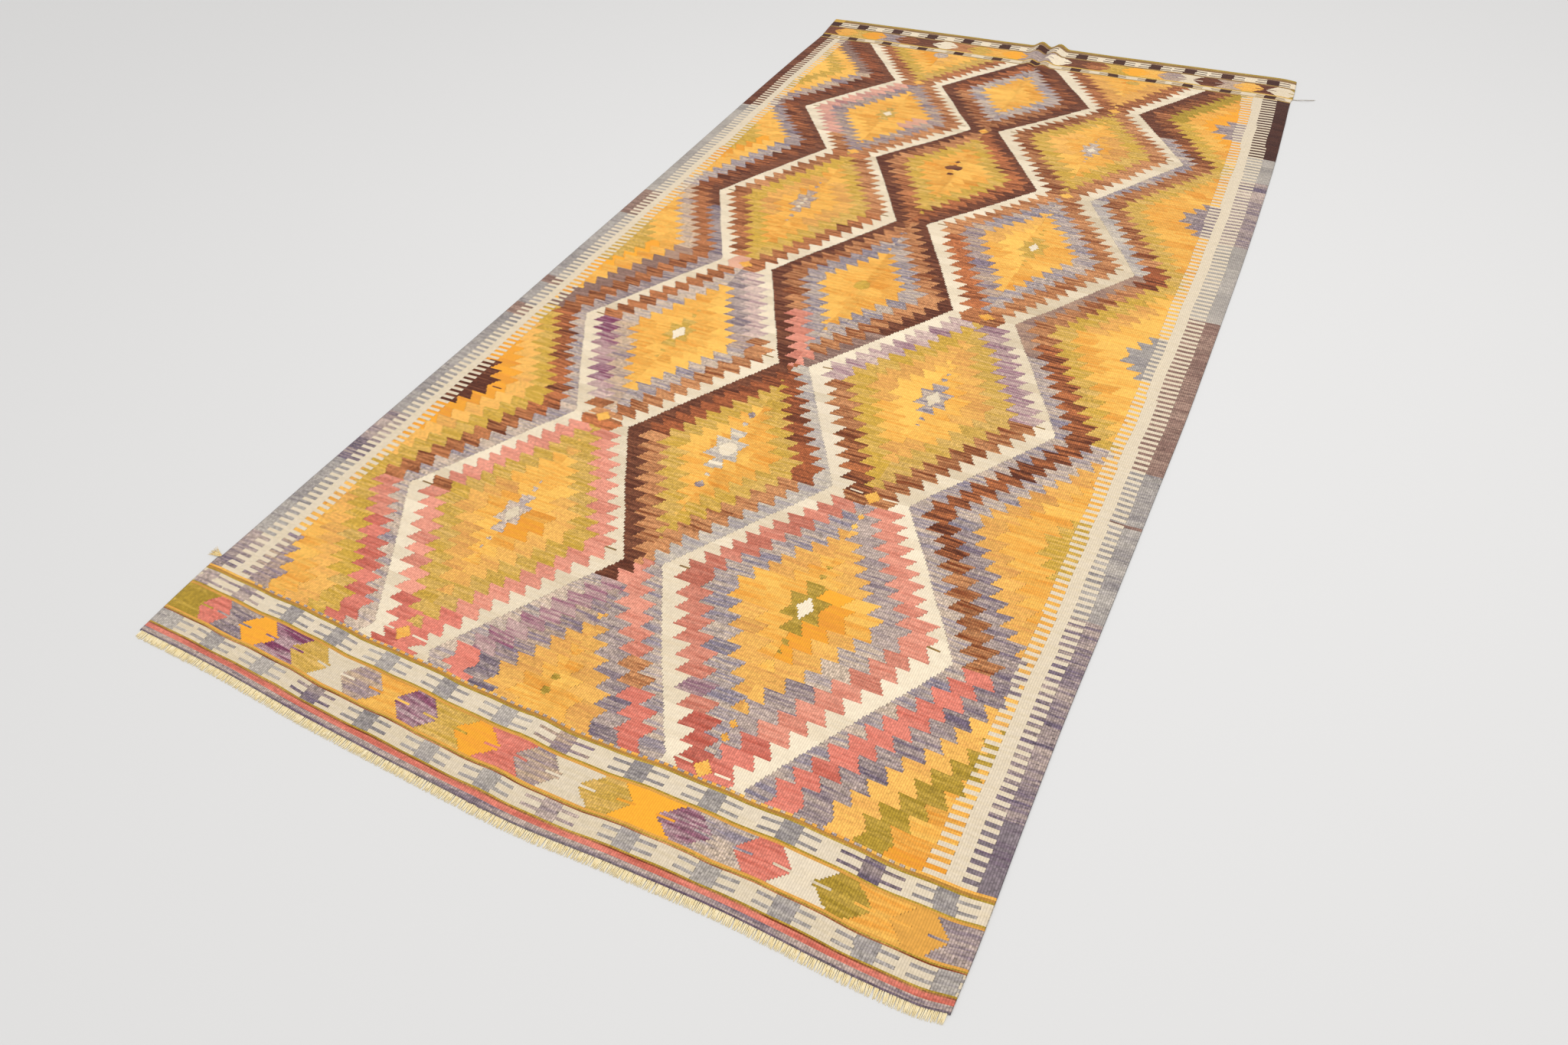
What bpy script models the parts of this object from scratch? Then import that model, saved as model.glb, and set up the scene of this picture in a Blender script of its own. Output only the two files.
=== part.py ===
"""A flat-woven kilim rug lying flat, in metres, +Z up, near end towards -Y.

The cloth is one woven sheet. Its outline bows to the right along its length, its near end bulges a little,
and an old lengthwise fold leaves a soft groove between two low shoulders, which rise into a double hump at
the far end. The cut warp ends are one comb along the near end, and two loose yarn ends stand out of the
selvedges. Everything lies on z = 0, and the origin is the middle of the whole rug's base.
"""

import math

import bmesh
import bpy
import numpy as np

MM = 0.001

# Driving dimensions of the cloth
RUG_WIDTH = 1.650
RUG_LENGTH = 3.238
CLOTH_THICKNESS = 0.0026
PIECE_GAP = 0.0003

# Grid of the cloth: more columns beside the fold, more rows at both ends
CLOTH_COLUMNS = 28
CLOTH_ROWS = 58
FOLD_CROWDING = {"centre": 0.505, "gain": 9.0, "reach": 0.035}
NEAR_END_CROWDING = {"centre": 0.03, "gain": 1.2, "reach": 0.05}
FAR_END_CROWDING = {"centre": 1.0, "gain": 2.4, "reach": 0.08}
GRADING_SAMPLES = 2001

# How far the selvedges stand off a straight line: place along the rug, left and right offset to +X, in mm
SELVEDGES = {
    "along_mm": (0, 110, 205, 216, 480, 780, 1120, 1500, 1990, 2560, 2900, 3085, 3100, 3238),
    "left_mm": (-9, -16, -19, -13, -11, -6, 0, 3, 7, 8, 12, 17, 15, 2),
    "right_mm": (3, 7, 8, 8, 10, 18, 26, 33, 34, 27, 14, 6, 9, 2),
}

# How far the two ends stand off a straight line: place across the rug, near and far offset to +Y, in mm
ENDS = {
    "across_mm": (0, 200, 450, 750, 900, 1100, 1300, 1500, 1600, 1650),
    "near_mm": (8, 4, -9, -18, -21, -11, -5, -9, -7, 2),
    "far_mm": (0, 1, 1, 0, 1, -2, -1, -1, -2, -12),
}

# The old fold along the rug: its line, and the height, distance and half width of the shoulders beside it
FOLD = {
    "along_mm": (0, 250, 900, 1700, 2500, 2850, 3000, 3120, 3238),
    "line_mm": (833, 833, 828, 829, 833, 833, 832, 836, 841),
    "lift_mm": (1.2, 2.0, 1.6, 2.0, 1.8, 3.0, 5.5, 10.5, 16.0),
    "left_distance_mm": (12, 13, 13, 13, 13, 18, 26, 32, 37),
    "right_distance_mm": (12, 13, 13, 13, 13, 15, 19, 23, 27),
    "half_width_mm": (15, 16, 16, 16, 16, 20, 27, 32, 36),
}

# Near fringe: a comb of cut warp ends
FRINGE_BAND = 0.0035
FRINGE_LENGTH = 0.0132
FRINGE_THICKNESS = 0.0018
FRINGE_TEETH = 62
FRINGE_TOOTH_SHARE = 0.62
FRINGE_TIP_SHARE = 0.40
FRINGE_UNEVENNESS = {"amount": 0.0016, "turn": 1.7, "start": 0.6}
FRINGE_LEAN = {"pitch_share": 0.12, "turn": 2.1}

# Loose yarn ends: where each leaves the selvedge, and its run from there, +X away from the rug
FAR_YARN = {
    "along": 3.100,
    "radius": 0.0011,
    "out_mm": (0, 8, 18, 30, 43, 56, 66),
    "along_run_mm": (0, 0, -1, 1, 6, 13, 20),
    "lift_mm": (0, 0, 1.6, 2.8, 2.2, 1.0, 0),
}
NEAR_TUFT = {
    "along": 0.2135,
    "radius": 0.0017,
    "out_mm": (0, -5, -11, -18, -24),
    "along_run_mm": (0, 0, 2, 4, 3),
    "lift_mm": (0, 0, 1.2, 1.0, 0),
}
YARN_POINTS = 12
YARN_BEVEL_RESOLUTION = 2
YARN_ROOT_SAMPLES = 9

MATERIALS = {
    "kilim_body": {"colour": (0.80, 0.49, 0.17), "roughness": 0.92},
    "near_fringe": {"colour": (0.78, 0.69, 0.45), "roughness": 0.95},
    "near_left_tuft": {"colour": (0.74, 0.56, 0.16), "roughness": 0.95},
    "far_right_yarn": {"colour": (0.82, 0.77, 0.66), "roughness": 0.95},
}


def smooth_through(places, stations, values):
    """Values at places, on a curve through the stations that turns smoothly (monotone cubic)."""
    stations = np.asarray(stations, float)
    values = np.asarray(values, float)
    steps = np.diff(values) / np.diff(stations)
    slopes = np.zeros(len(values))
    same_way = steps[1:] * steps[:-1] > 0
    both = np.where(same_way, steps[1:] + steps[:-1], 1)
    slopes[1:-1] = np.where(same_way, 2 * steps[1:] * steps[:-1] / both, 0)
    slopes[0] = steps[0]
    slopes[-1] = steps[-1]
    places = np.clip(places, stations[0], stations[-1])
    span = np.clip(np.searchsorted(stations, places) - 1, 0, len(steps) - 1)
    length = np.diff(stations)[span]
    x = (places - stations[span]) / length
    start = values[span] * (2 * x**3 - 3 * x**2 + 1) + slopes[span] * length * (x**3 - 2 * x**2 + x)
    end = values[span + 1] * (3 * x**2 - 2 * x**3) + slopes[span + 1] * length * (x**3 - x**2)
    return start + end


def graded_places(count, *crowdings):
    """count + 1 places from 0 to 1, closer together round each crowding's centre."""
    fine = np.linspace(0, 1, GRADING_SAMPLES)
    density = np.ones_like(fine)
    for crowd in crowdings:
        density += crowd["gain"] * np.exp(-(((fine - crowd["centre"]) / crowd["reach"]) ** 2))
    total = np.concatenate(([0], np.cumsum((density[1:] + density[:-1]) / 2)))
    return np.interp(np.linspace(0, total[-1], count + 1), total, fine)


def fold_column_places():
    """Columns of the cloth from selvedge to selvedge, crowded at the fold."""
    return graded_places(CLOTH_COLUMNS, FOLD_CROWDING)


def end_row_places():
    """Rows of the cloth from the near to the far end, crowded at both."""
    return graded_places(CLOTH_ROWS, NEAR_END_CROWDING, FAR_END_CROWDING)


def selvedge(along_mm, side):
    """X in mm of the left or right selvedge, from the near-left corner."""
    offset = smooth_through(along_mm, SELVEDGES["along_mm"], SELVEDGES[side])
    return offset + (RUG_WIDTH / MM if side == "right_mm" else 0)


def end_offset(across_mm, end):
    """How far the near or far end stands off its straight line, in mm to +Y."""
    return smooth_through(across_mm, ENDS["across_mm"], ENDS[end])


def shoulder(distance):
    """A soft swell: half a cosine wave, 1 at distance 0 and 0 from distance 1 on."""
    return (1 + np.cos(np.pi * np.clip(distance, -1, 1))) / 2


def fold_height(x_mm, along_mm):
    """Height in mm of the cloth's underside beside the old fold, 0 away from it."""
    line, lift, left, right, half = (
        smooth_through(along_mm, FOLD["along_mm"], FOLD[column])
        for column in ("line_mm", "lift_mm", "left_distance_mm", "right_distance_mm", "half_width_mm")
    )
    return lift * (shoulder((x_mm - line + left) / half) + shoulder((x_mm - line - right) / half))


def cloth_underside(s, t):
    """Points in metres of the cloth's underside; s runs 0 to 1 across and t 0 to 1 along the rug."""
    length_mm = RUG_LENGTH / MM
    along_mm = t * length_mm
    x_mm = selvedge(along_mm, "left_mm") * (1 - s) + selvedge(along_mm, "right_mm") * s
    across_mm = s * RUG_WIDTH / MM
    y_mm = along_mm + end_offset(across_mm, "near_mm") * (1 - t) + end_offset(across_mm, "far_mm") * t
    return np.stack([x_mm, y_mm, fold_height(x_mm, along_mm)], axis=-1) * MM


def rug_middle():
    """X and Y in metres of the middle of the whole rug's box, fringe and yarn ends included."""
    s, t = np.meshgrid(fold_column_places(), end_row_places())
    cloth = cloth_underside(s, t).reshape(-1, 3)
    pieces = [cloth[:, :2], fringe_outline(), yarn_path(FAR_YARN)[:, :2], yarn_path(NEAR_TUFT)[:, :2]]
    points = np.concatenate(pieces)
    return (points.min(axis=0) + points.max(axis=0)) / 2


def fringe_outline():
    """Outline of the comb in metres: the band along the cloth's edge, then the teeth back to the start."""
    near_edge = cloth_underside(fold_column_places(), np.zeros(CLOTH_COLUMNS + 1))
    x_first = near_edge[0, 0] + FRINGE_BAND
    x_last = near_edge[-1, 0] - FRINGE_BAND
    pitch = (x_last - x_first) / FRINGE_TEETH

    def edge_y(x):
        return np.interp(x, near_edge[:, 0], near_edge[:, 1]) - PIECE_GAP

    inner_corners = near_edge[(near_edge[:, 0] > x_first) & (near_edge[:, 0] < x_last), 0]
    band = [(x, edge_y(x)) for x in (x_first, *inner_corners, x_last)]
    comb = []
    for tooth in reversed(range(FRINGE_TEETH)):
        middle = x_first + (tooth + 0.5) * pitch
        root = pitch * FRINGE_TOOTH_SHARE / 2
        tip = pitch * FRINGE_TIP_SHARE / 2
        lean = FRINGE_LEAN["pitch_share"] * pitch * math.sin(FRINGE_LEAN["turn"] * tooth)
        wave = math.sin(FRINGE_UNEVENNESS["turn"] * tooth + FRINGE_UNEVENNESS["start"])
        reach = FRINGE_LENGTH + FRINGE_UNEVENNESS["amount"] * wave
        comb.append((middle + root, edge_y(middle + root) - FRINGE_BAND))
        comb.append((middle + tip + lean, edge_y(middle) - reach))
        comb.append((middle - tip + lean, edge_y(middle) - reach))
        comb.append((middle - root, edge_y(middle - root) - FRINGE_BAND))
    return np.array(band + comb)


def yarn_path(yarn):
    """Points in metres along a loose yarn, from the selvedge outwards, never under z = 0."""
    outward = math.copysign(1, yarn["out_mm"][-1])
    rows = end_row_places()
    edge = cloth_underside(np.full(len(rows), 1.0 if outward > 0 else 0.0), rows)
    beside_root = yarn["along"] + np.linspace(-2, 2, YARN_ROOT_SAMPLES) * yarn["radius"]
    furthest_out = (outward * np.interp(beside_root, edge[:, 1], edge[:, 0])).max()
    root_x = outward * (furthest_out + PIECE_GAP)
    run = np.linspace(0, 1, YARN_POINTS)
    stations = np.linspace(0, 1, len(yarn["out_mm"]))
    out, along, lift = (
        smooth_through(run, stations, yarn[column]) * MM for column in ("out_mm", "along_run_mm", "lift_mm")
    )
    return np.stack([root_x + out, yarn["along"] + along, yarn["radius"] + lift], axis=-1)


def principled(name):
    """The plain finish of one piece."""
    finish = MATERIALS[name]
    material = bpy.data.materials.new(name)
    material.use_nodes = True
    shader = material.node_tree.nodes["Principled BSDF"]
    shader.inputs["Base Color"].default_value = (*finish["colour"], 1.0)
    shader.inputs["Roughness"].default_value = finish["roughness"]
    shader.inputs["Metallic"].default_value = 0.0
    return material


def add_piece(collection, name, data, location):
    """An object of this name and data in the collection, with its own material."""
    piece = bpy.data.objects.new(name, data)
    piece.location = location
    data.materials.append(principled(name))
    collection.objects.link(piece)
    return piece


def make_cloth(collection, location):
    """The woven sheet: a grid laid on the underside surface, given its thickness upwards."""
    mesh = bpy.data.meshes.new("kilim_body")
    sheet = bmesh.new()
    bmesh.ops.create_grid(sheet, x_segments=CLOTH_COLUMNS, y_segments=CLOTH_ROWS, size=0.5)
    columns = fold_column_places()
    rows = end_row_places()
    for corner in sheet.verts:
        s = columns[round((corner.co.x + 0.5) * CLOTH_COLUMNS)]
        t = rows[round((corner.co.y + 0.5) * CLOTH_ROWS)]
        corner.co = cloth_underside(s, t)
    sheet.to_mesh(mesh)
    sheet.free()
    mesh.shade_smooth()
    cloth = add_piece(collection, "kilim_body", mesh, location)
    solidify = cloth.modifiers.new("thickness", "SOLIDIFY")
    solidify.thickness = CLOTH_THICKNESS
    solidify.offset = 1.0
    solidify.use_even_offset = True
    return cloth


def make_fringe(collection, location):
    """The comb of cut warp ends: a flat outline with its thickness."""
    curve = bpy.data.curves.new("near_fringe", "CURVE")
    curve.dimensions = "2D"
    curve.fill_mode = "BOTH"
    curve.extrude = FRINGE_THICKNESS / 2
    outline = fringe_outline()
    spline = curve.splines.new("POLY")
    spline.points.add(len(outline) - 1)
    for point, (x, y) in zip(spline.points, outline):
        point.co = (x, y, 0.0, 1.0)
    spline.use_cyclic_u = True
    x, y, z = location
    return add_piece(collection, "near_fringe", curve, (x, y, z + FRINGE_THICKNESS / 2))


def make_yarn(collection, name, yarn, location):
    """One loose yarn end: a round cord along its path, with closed ends."""
    curve = bpy.data.curves.new(name, "CURVE")
    curve.dimensions = "3D"
    curve.bevel_depth = yarn["radius"]
    curve.bevel_resolution = YARN_BEVEL_RESOLUTION
    curve.use_fill_caps = True
    path = yarn_path(yarn)
    spline = curve.splines.new("POLY")
    spline.points.add(len(path) - 1)
    for point, (x, y, z) in zip(spline.points, path):
        point.co = (x, y, z, 1.0)
    return add_piece(collection, name, curve, location)


def main():
    """Clear the scene and lay out the rug with the middle of its base at the origin."""
    for old in list(bpy.data.objects):
        bpy.data.objects.remove(old, do_unlink=True)
    rug = bpy.data.collections.new("kilim_rug")
    bpy.context.scene.collection.children.link(rug)
    middle_x, middle_y = rug_middle()
    location = (-middle_x, -middle_y, 0.0)
    make_cloth(rug, location)
    make_fringe(rug, location)
    make_yarn(rug, "far_right_yarn", FAR_YARN, location)
    make_yarn(rug, "near_left_tuft", NEAR_TUFT, location)


main()
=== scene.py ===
"""Looks of a flat-woven kilim rug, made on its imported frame: metres, +Z up, near end towards -Y.

The cloth is drawn first as a loom chart, the weaver's graph paper: one column for each warp rib, one row for
each step of the weave, and in every square the yarn that crosses there. The chart is worked out from the
rug's own lines, such as where each white zigzag turns and how tall a tooth is. It is then woven as one mesh:
each run of one yarn in a row is a strip of its own, so every stepped colour edge is a real edge. Fringe,
tuft and yarn end are spun from separate strands.
"""

import logging
from dataclasses import dataclass, field
from enum import Enum, IntEnum

import bpy
import numpy as np
from bpy.types import Material, Mesh, Node, NodeSocket, Object
from mathutils import Matrix, Vector


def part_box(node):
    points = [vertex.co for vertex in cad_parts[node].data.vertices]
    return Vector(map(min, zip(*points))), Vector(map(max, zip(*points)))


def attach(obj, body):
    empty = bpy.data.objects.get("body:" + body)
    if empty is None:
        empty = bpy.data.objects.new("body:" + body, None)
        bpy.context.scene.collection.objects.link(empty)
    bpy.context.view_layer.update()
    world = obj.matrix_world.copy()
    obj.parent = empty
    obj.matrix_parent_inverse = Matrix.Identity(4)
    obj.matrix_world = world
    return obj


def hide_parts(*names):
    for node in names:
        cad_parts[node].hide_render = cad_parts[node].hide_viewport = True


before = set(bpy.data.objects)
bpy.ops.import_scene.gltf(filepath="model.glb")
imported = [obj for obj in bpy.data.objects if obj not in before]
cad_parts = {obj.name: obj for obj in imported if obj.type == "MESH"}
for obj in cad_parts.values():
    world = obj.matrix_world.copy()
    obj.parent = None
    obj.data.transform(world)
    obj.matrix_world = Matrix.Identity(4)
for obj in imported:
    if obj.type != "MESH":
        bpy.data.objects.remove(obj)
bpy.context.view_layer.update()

LOG = logging.getLogger("kilim_rug")
Array = np.ndarray
MM = 0.001

# Driving dimensions in mm, from the rug's near-left corner: X across to the right, Y along to the far end
RUG_WIDTH = 1650.0
RUG_LENGTH = 3238.0
CLOTH_THICKNESS = 2.6
WARP_COUNT = 384
WARP_PITCH = RUG_WIDTH / WARP_COUNT
WEAVE_STEP = 4.25
TOOTH_HEIGHT = 29.0
TEETH_PER_RUN = 12
SHORT_RUN_TEETH = 3
TOOTH_SLANT = 17.5
FAR_OFF = 1e6

# How far chance makes a batch of yarn lighter or darker, and the most lozenges and teeth it allows for
BATCH_SPREAD = 0.7
MOST_LOZENGES = 16
MOST_TEETH = 32


class Side(Enum):
    """Which half of a lozenge, or which selvedge."""

    LEFT = -1
    RIGHT = 1
    BOTH = 0


@dataclass(frozen=True)
class DyedYarn:
    """One dye lot: its colour, the colour of its streaks, and how strong streaks and flecks are."""

    colour: str
    streak: str
    streaks: float
    flecks: float


YARNS: dict[str, DyedYarn] = {
    "CREAM": DyedYarn("#F2E1C5", "#E9D2AE", 0.40, 0.15),
    "GOLD": DyedYarn("#F9BF5B", "#F19B34", 0.62, 0.28),
    "ORANGE": DyedYarn("#F9AB32", "#F1953B", 0.50, 0.12),
    "PEACH": DyedYarn("#F0B55B", "#D99450", 0.68, 0.38),
    "OLIVE": DyedYarn("#CAA13C", "#E9BC6A", 0.75, 0.48),
    "DARK_OLIVE": DyedYarn("#A98A2C", "#CDA84A", 0.72, 0.50),
    "PINK": DyedYarn("#E99B83", "#CC735D", 0.66, 0.42),
    "PALE_PINK": DyedYarn("#E4AE90", "#D8907E", 0.55, 0.16),
    "RED": DyedYarn("#E48572", "#C25947", 0.62, 0.42),
    "RUST": DyedYarn("#C07A4B", "#703519", 0.92, 0.74),
    "DARK_RUST": DyedYarn("#C27344", "#602D1A", 0.92, 0.74),
    "BROWN": DyedYarn("#CC8E5D", "#84401D", 0.92, 0.68),
    "DARK_BROWN": DyedYarn("#5A2B1A", "#8C5439", 0.85, 0.70),
    "GREY_BLUE": DyedYarn("#CCB59F", "#8F8492", 0.88, 0.76),
    "GREY_PURPLE": DyedYarn("#B8A397", "#766676", 0.88, 0.78),
    "GREY_LILAC": DyedYarn("#CAAD8F", "#917E8B", 0.88, 0.70),
    "LILAC": DyedYarn("#D9BEAF", "#A17684", 0.85, 0.60),
    "PURPLE": DyedYarn("#823D5D", "#C0A0A0", 0.95, 0.80),
    "MAUVE": DyedYarn("#84655A", "#B0907F", 0.85, 0.66),
    "TAN": DyedYarn("#9C7842", "#856746", 0.75, 0.50),
    "PLUM": DyedYarn("#C0A099", "#93556F", 0.95, 0.62),
    "ASH": DyedYarn("#B4AAA0", "#958C8B", 0.74, 0.60),
    "PALE_ASH": DyedYarn("#B6ACA1", "#A09791", 0.60, 0.40),
    "IVORY": DyedYarn("#E9D8BE", "#DFCBA6", 0.40, 0.16),
    "SLATE": DyedYarn("#83767A", "#705A6D", 0.85, 0.66),
    "OLD_GOLD": DyedYarn("#DDA048", "#BB873E", 0.60, 0.20),
    "PALE_GREY": DyedYarn("#E0D0B7", "#B2A6A6", 0.70, 0.50),
    "CHESTNUT": DyedYarn("#A95D36", "#522516", 0.90, 0.72),
    "FAWN": DyedYarn("#AF8D76", "#8A6A66", 0.72, 0.55),
    "DUSTY_PINK": DyedYarn("#E3A891", "#B87F7C", 0.70, 0.42),
    "UMBER": DyedYarn("#422017", "#5C3527", 0.60, 0.50),
}

# A yarn's number in the chart, by its name
Dye = IntEnum("Dye", list(YARNS), start=0)


def yarns(names: str) -> tuple[Dye, ...]:
    """Reads a row of yarns from their names, with spaces between them."""
    return tuple(Dye[name.upper()] for name in names.split())


def linear(colour: str) -> tuple[float, float, float]:
    """Turns an sRGB hex colour into linear light.

    Args:
        colour: Six hex digits after a hash.

    Returns:
        Red, green and blue from 0 to 1.
    """
    shares = (int(colour[place:place + 2], 16) / 255 for place in (1, 3, 5))
    return tuple(share / 12.92 if share <= 0.04045 else ((share + 0.055) / 1.055) ** 2.4 for share in shares)


def smooth_through(places: Array, stations: tuple, values: tuple) -> Array:
    """Reads a curve through the stations that turns smoothly: a monotone cubic, as in the frame's own cloth.

    Args:
        places: Where to read it.
        stations: Places of the table's rows, rising.
        values: The table's values there.

    Returns:
        The curve's value at each place.
    """
    stations = np.asarray(stations, float)
    values = np.asarray(values, float)
    steps = np.diff(values) / np.diff(stations)
    slopes = np.zeros(len(values))
    same_way = steps[1:] * steps[:-1] > 0
    both = np.where(same_way, steps[1:] + steps[:-1], 1)
    slopes[1:-1] = np.where(same_way, 2 * steps[1:] * steps[:-1] / both, 0)
    slopes[0] = steps[0]
    slopes[-1] = steps[-1]
    places = np.clip(places, stations[0], stations[-1])
    span = np.clip(np.searchsorted(stations, places) - 1, 0, len(steps) - 1)
    length = np.diff(stations)[span]
    x = (places - stations[span]) / length
    start = values[span] * (2 * x**3 - 3 * x**2 + 1) + slopes[span] * length * (x**3 - 2 * x**2 + x)
    end = values[span + 1] * (3 * x**2 - 2 * x**3) + slopes[span + 1] * length * (x**3 - x**2)
    return start + end


def swell(distance: Array) -> Array:
    """A soft swell: half a cosine wave, 1 at distance 0 and 0 from distance 1 on."""
    return (1 + np.cos(np.pi * np.clip(distance, -1, 1))) / 2


def wave(turns: Array, start: float = 0.0) -> Array:
    """A sine wave of so many turns, which begins at an angle in radians."""
    return np.sin(2 * np.pi * turns + start)


def ease(share: Array) -> Array:
    """A smooth step from 0 to 1 while share goes from 0 to 1."""
    share = np.clip(share, 0, 1)
    return share * share * (3 - 2 * share)


# ---------------------------------------------------------------- the shape in which the cloth lies


@dataclass(frozen=True)
class ClothShape:
    """The sheet as it lies: selvedges that bow, uneven ends, and the old fold along its middle, all in mm."""

    selvedge_along: tuple = (0, 110, 205, 216, 480, 780, 1120, 1500, 1990, 2560, 2900, 3085, 3100, 3238)
    selvedge_left: tuple = (-9, -16, -19, -13, -11, -6, 0, 3, 7, 8, 12, 17, 15, 2)
    selvedge_right: tuple = (3, 7, 8, 8, 10, 18, 26, 33, 34, 27, 14, 6, 9, 2)
    end_across: tuple = (0, 200, 450, 750, 900, 1100, 1300, 1500, 1600, 1650)
    end_near: tuple = (8, 4, -9, -18, -21, -11, -5, -9, -7, 2)
    end_far: tuple = (0, 1, 1, 0, 1, -2, -1, -1, -2, -12)
    end_reach: float = 500.0
    fold_along: tuple = (0, 250, 900, 1700, 2500, 2850, 3000, 3120, 3238)
    fold_line: tuple = (833, 833, 828, 829, 833, 833, 832, 836, 841)
    fold_lift: tuple = (1.2, 2.0, 1.6, 2.0, 1.8, 3.0, 5.5, 10.5, 16.0)
    fold_left: tuple = (12, 13, 13, 13, 13, 18, 26, 32, 37)
    fold_right: tuple = (12, 13, 13, 13, 13, 15, 19, 23, 27)
    fold_half: tuple = (15, 16, 16, 16, 16, 20, 27, 32, 36)
    fold_warps: tuple = (176, 212)
    wander_across: float = 1.5
    wander_along: float = 2.0
    wander_fade: float = 45.0
    # Half width in mm of the darker line along the fold.
    fold_line_half: float = 7.0
    cockle: float = 0.35
    rim_drop: float = 0.8

    def middle(self) -> tuple[float, float]:
        """The frame's origin in mm from the near-left corner, found from the CAD cloth's box."""
        low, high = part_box("kilim_body")
        return min(self.selvedge_left) - low[0] / MM, RUG_LENGTH + max(self.end_far) - high[1] / MM

    def in_frame(self, x: Array, y: Array, z: Array) -> Array:
        """Points in metres in the frame, from mm from the near-left corner and above the floor."""
        middle_x, middle_y = self.middle()
        return np.stack(np.broadcast_arrays(x - middle_x, y - middle_y, z), axis=-1) * MM

    def selvedges(self, along: Array) -> tuple[Array, Array]:
        """X of the left and of the right selvedge at each place along the rug."""
        left = smooth_through(along, self.selvedge_along, self.selvedge_left)
        right = RUG_WIDTH + smooth_through(along, self.selvedge_along, self.selvedge_right)
        return left, right

    def bulge(self, share: Array, along: Array) -> Array:
        """How far a weft line is pushed along the rug by the uneven ends, fading away from each.

        Args:
            share: Place across, from 0 at the left selvedge to 1 at the right.
            along: Place along, in mm.

        Returns:
            The shift towards the far end, in mm.
        """
        across = share * RUG_WIDTH
        near = smooth_through(across, self.end_across, self.end_near)
        far = smooth_through(across, self.end_across, self.end_far)
        return near * np.exp(-along / self.end_reach) + far * np.exp((along - RUG_LENGTH) / self.end_reach)

    def lay(self, warp: Array, along: Array) -> tuple[Array, Array]:
        """X and Y of a place in the weave before it wanders: straight from selvedge to selvedge.

        Args:
            warp: Warp ribs from the left selvedge.
            along: Place along the rug, in mm.

        Returns:
            X and Y in mm from the near-left corner.
        """
        share = warp / WARP_COUNT
        left, right = self.selvedges(along)
        return left * (1 - share) + right * share, along + self.bulge(share, along)

    def find(self, x: float, y: float) -> tuple[Array, Array]:
        """The warp and the place along that lie at X and Y: lay() the other way round, by corrections.

        Args:
            x: X in mm from the near-left corner.
            y: Y in mm from the near-left corner.

        Returns:
            Warp ribs from the left selvedge, and place along the rug in mm.
        """
        along = np.asarray(y, float)
        for _ in range(4):
            left, right = self.selvedges(along)
            share = (x - left) / (right - left)
            along = y - self.bulge(share, np.clip(along, 0, RUG_LENGTH))
        return share * WARP_COUNT, along

    def wander(self, warp: Array, along: Array) -> tuple[Array, Array]:
        """How beaten weft lines and warps stray in the plane: slow sine waves that fade out at the edges.

        Args:
            warp: Warp ribs from the left selvedge.
            along: Place along the rug, in mm.

        Returns:
            The shift in X and in Y, in mm.
        """
        across = warp * WARP_PITCH
        inward = ease(np.minimum(across, RUG_WIDTH - across) / self.wander_fade)
        inward = inward * ease(np.minimum(along, RUG_LENGTH - along) / self.wander_fade)
        x = wave(along / 310 + across / 1900) + 0.6 * wave(along / 137 - across / 900, 1.1)
        y = wave(across / 265 + along / 2300) + 0.7 * wave(across / 118 - along / 770, 2.0)
        return inward * self.wander_across * x / 1.6, inward * self.wander_along * y / 1.7

    def fold_height(self, x: Array, along: Array) -> Array:
        """Height of the underside beside the old fold: one swell on each side of its line, times its lift.

        Args:
            x: X in mm from the near-left corner.
            along: Place along the rug, in mm.

        Returns:
            The height, in mm.
        """
        line, lift, left, right, half = (
            smooth_through(along, self.fold_along, values)
            for values in (self.fold_line, self.fold_lift, self.fold_left, self.fold_right, self.fold_half)
        )
        return lift * (swell((x - line + left) / half) + swell((x - line - right) / half))

    def cockling(self, x: Array, y: Array) -> Array:
        """Height in mm of the faint pillows of a beaten cloth: the product of slow waves, never under 0."""
        pillows = wave(x / 236 + y / 1310) * wave(y / 293 - x / 1740)
        return self.cockle * (1 + 0.7 * pillows + 0.3 * wave(y / 97 + x / 410))

    def points(self, warp: Array, along: Array, upper: bool) -> Array:
        """Points of the sheet's upper face or of its underside.

        Formula in words: each point is laid between the selvedges, strays a little, and stands on the fold's
        height. The upper face is a thickness higher, and both faces draw together at the rim.

        Args:
            warp: Warp ribs from the left selvedge.
            along: Place along the rug, in mm.
            upper: Whether the upper face is meant.

        Returns:
            Points in metres, in the frame.
        """
        x, y = self.lay(warp, along)
        stray_x, stray_y = self.wander(warp, along)
        x = x + stray_x
        y = y + stray_y
        at_rim = (warp <= 0) | (warp >= WARP_COUNT) | (along <= 0) | (along >= RUG_LENGTH)
        z = self.fold_height(x, along) + np.where(at_rim, 0, self.cockling(x, y))
        z = z + np.where(at_rim, self.rim_drop, 0) * (-1 if upper else 1) + (CLOTH_THICKNESS if upper else 0)
        return self.in_frame(x, y, z)

    def fold_closeness(self, warp: Array, along: Array) -> Array:
        """How close a place is to the fold's line: 1 on it, fading to 0 some 15 mm away."""
        x, _ = self.lay(warp, along)
        line = smooth_through(along, self.fold_along, self.fold_line)
        return np.exp(-(((x - line) / self.fold_line_half) ** 2))


# ---------------------------------------------------------------- the loom chart


@dataclass(frozen=True)
class ZigzagLine:
    """One outline of the white bands, by the places where it turns, in mm from the near-left corner.

    Attributes:
        across: X of each turn.
        along: Y of each turn.
        last_teeth: Teeth on its last run, which the far end border covers in part.
    """

    across: tuple
    along: tuple
    last_teeth: int = 13


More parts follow.
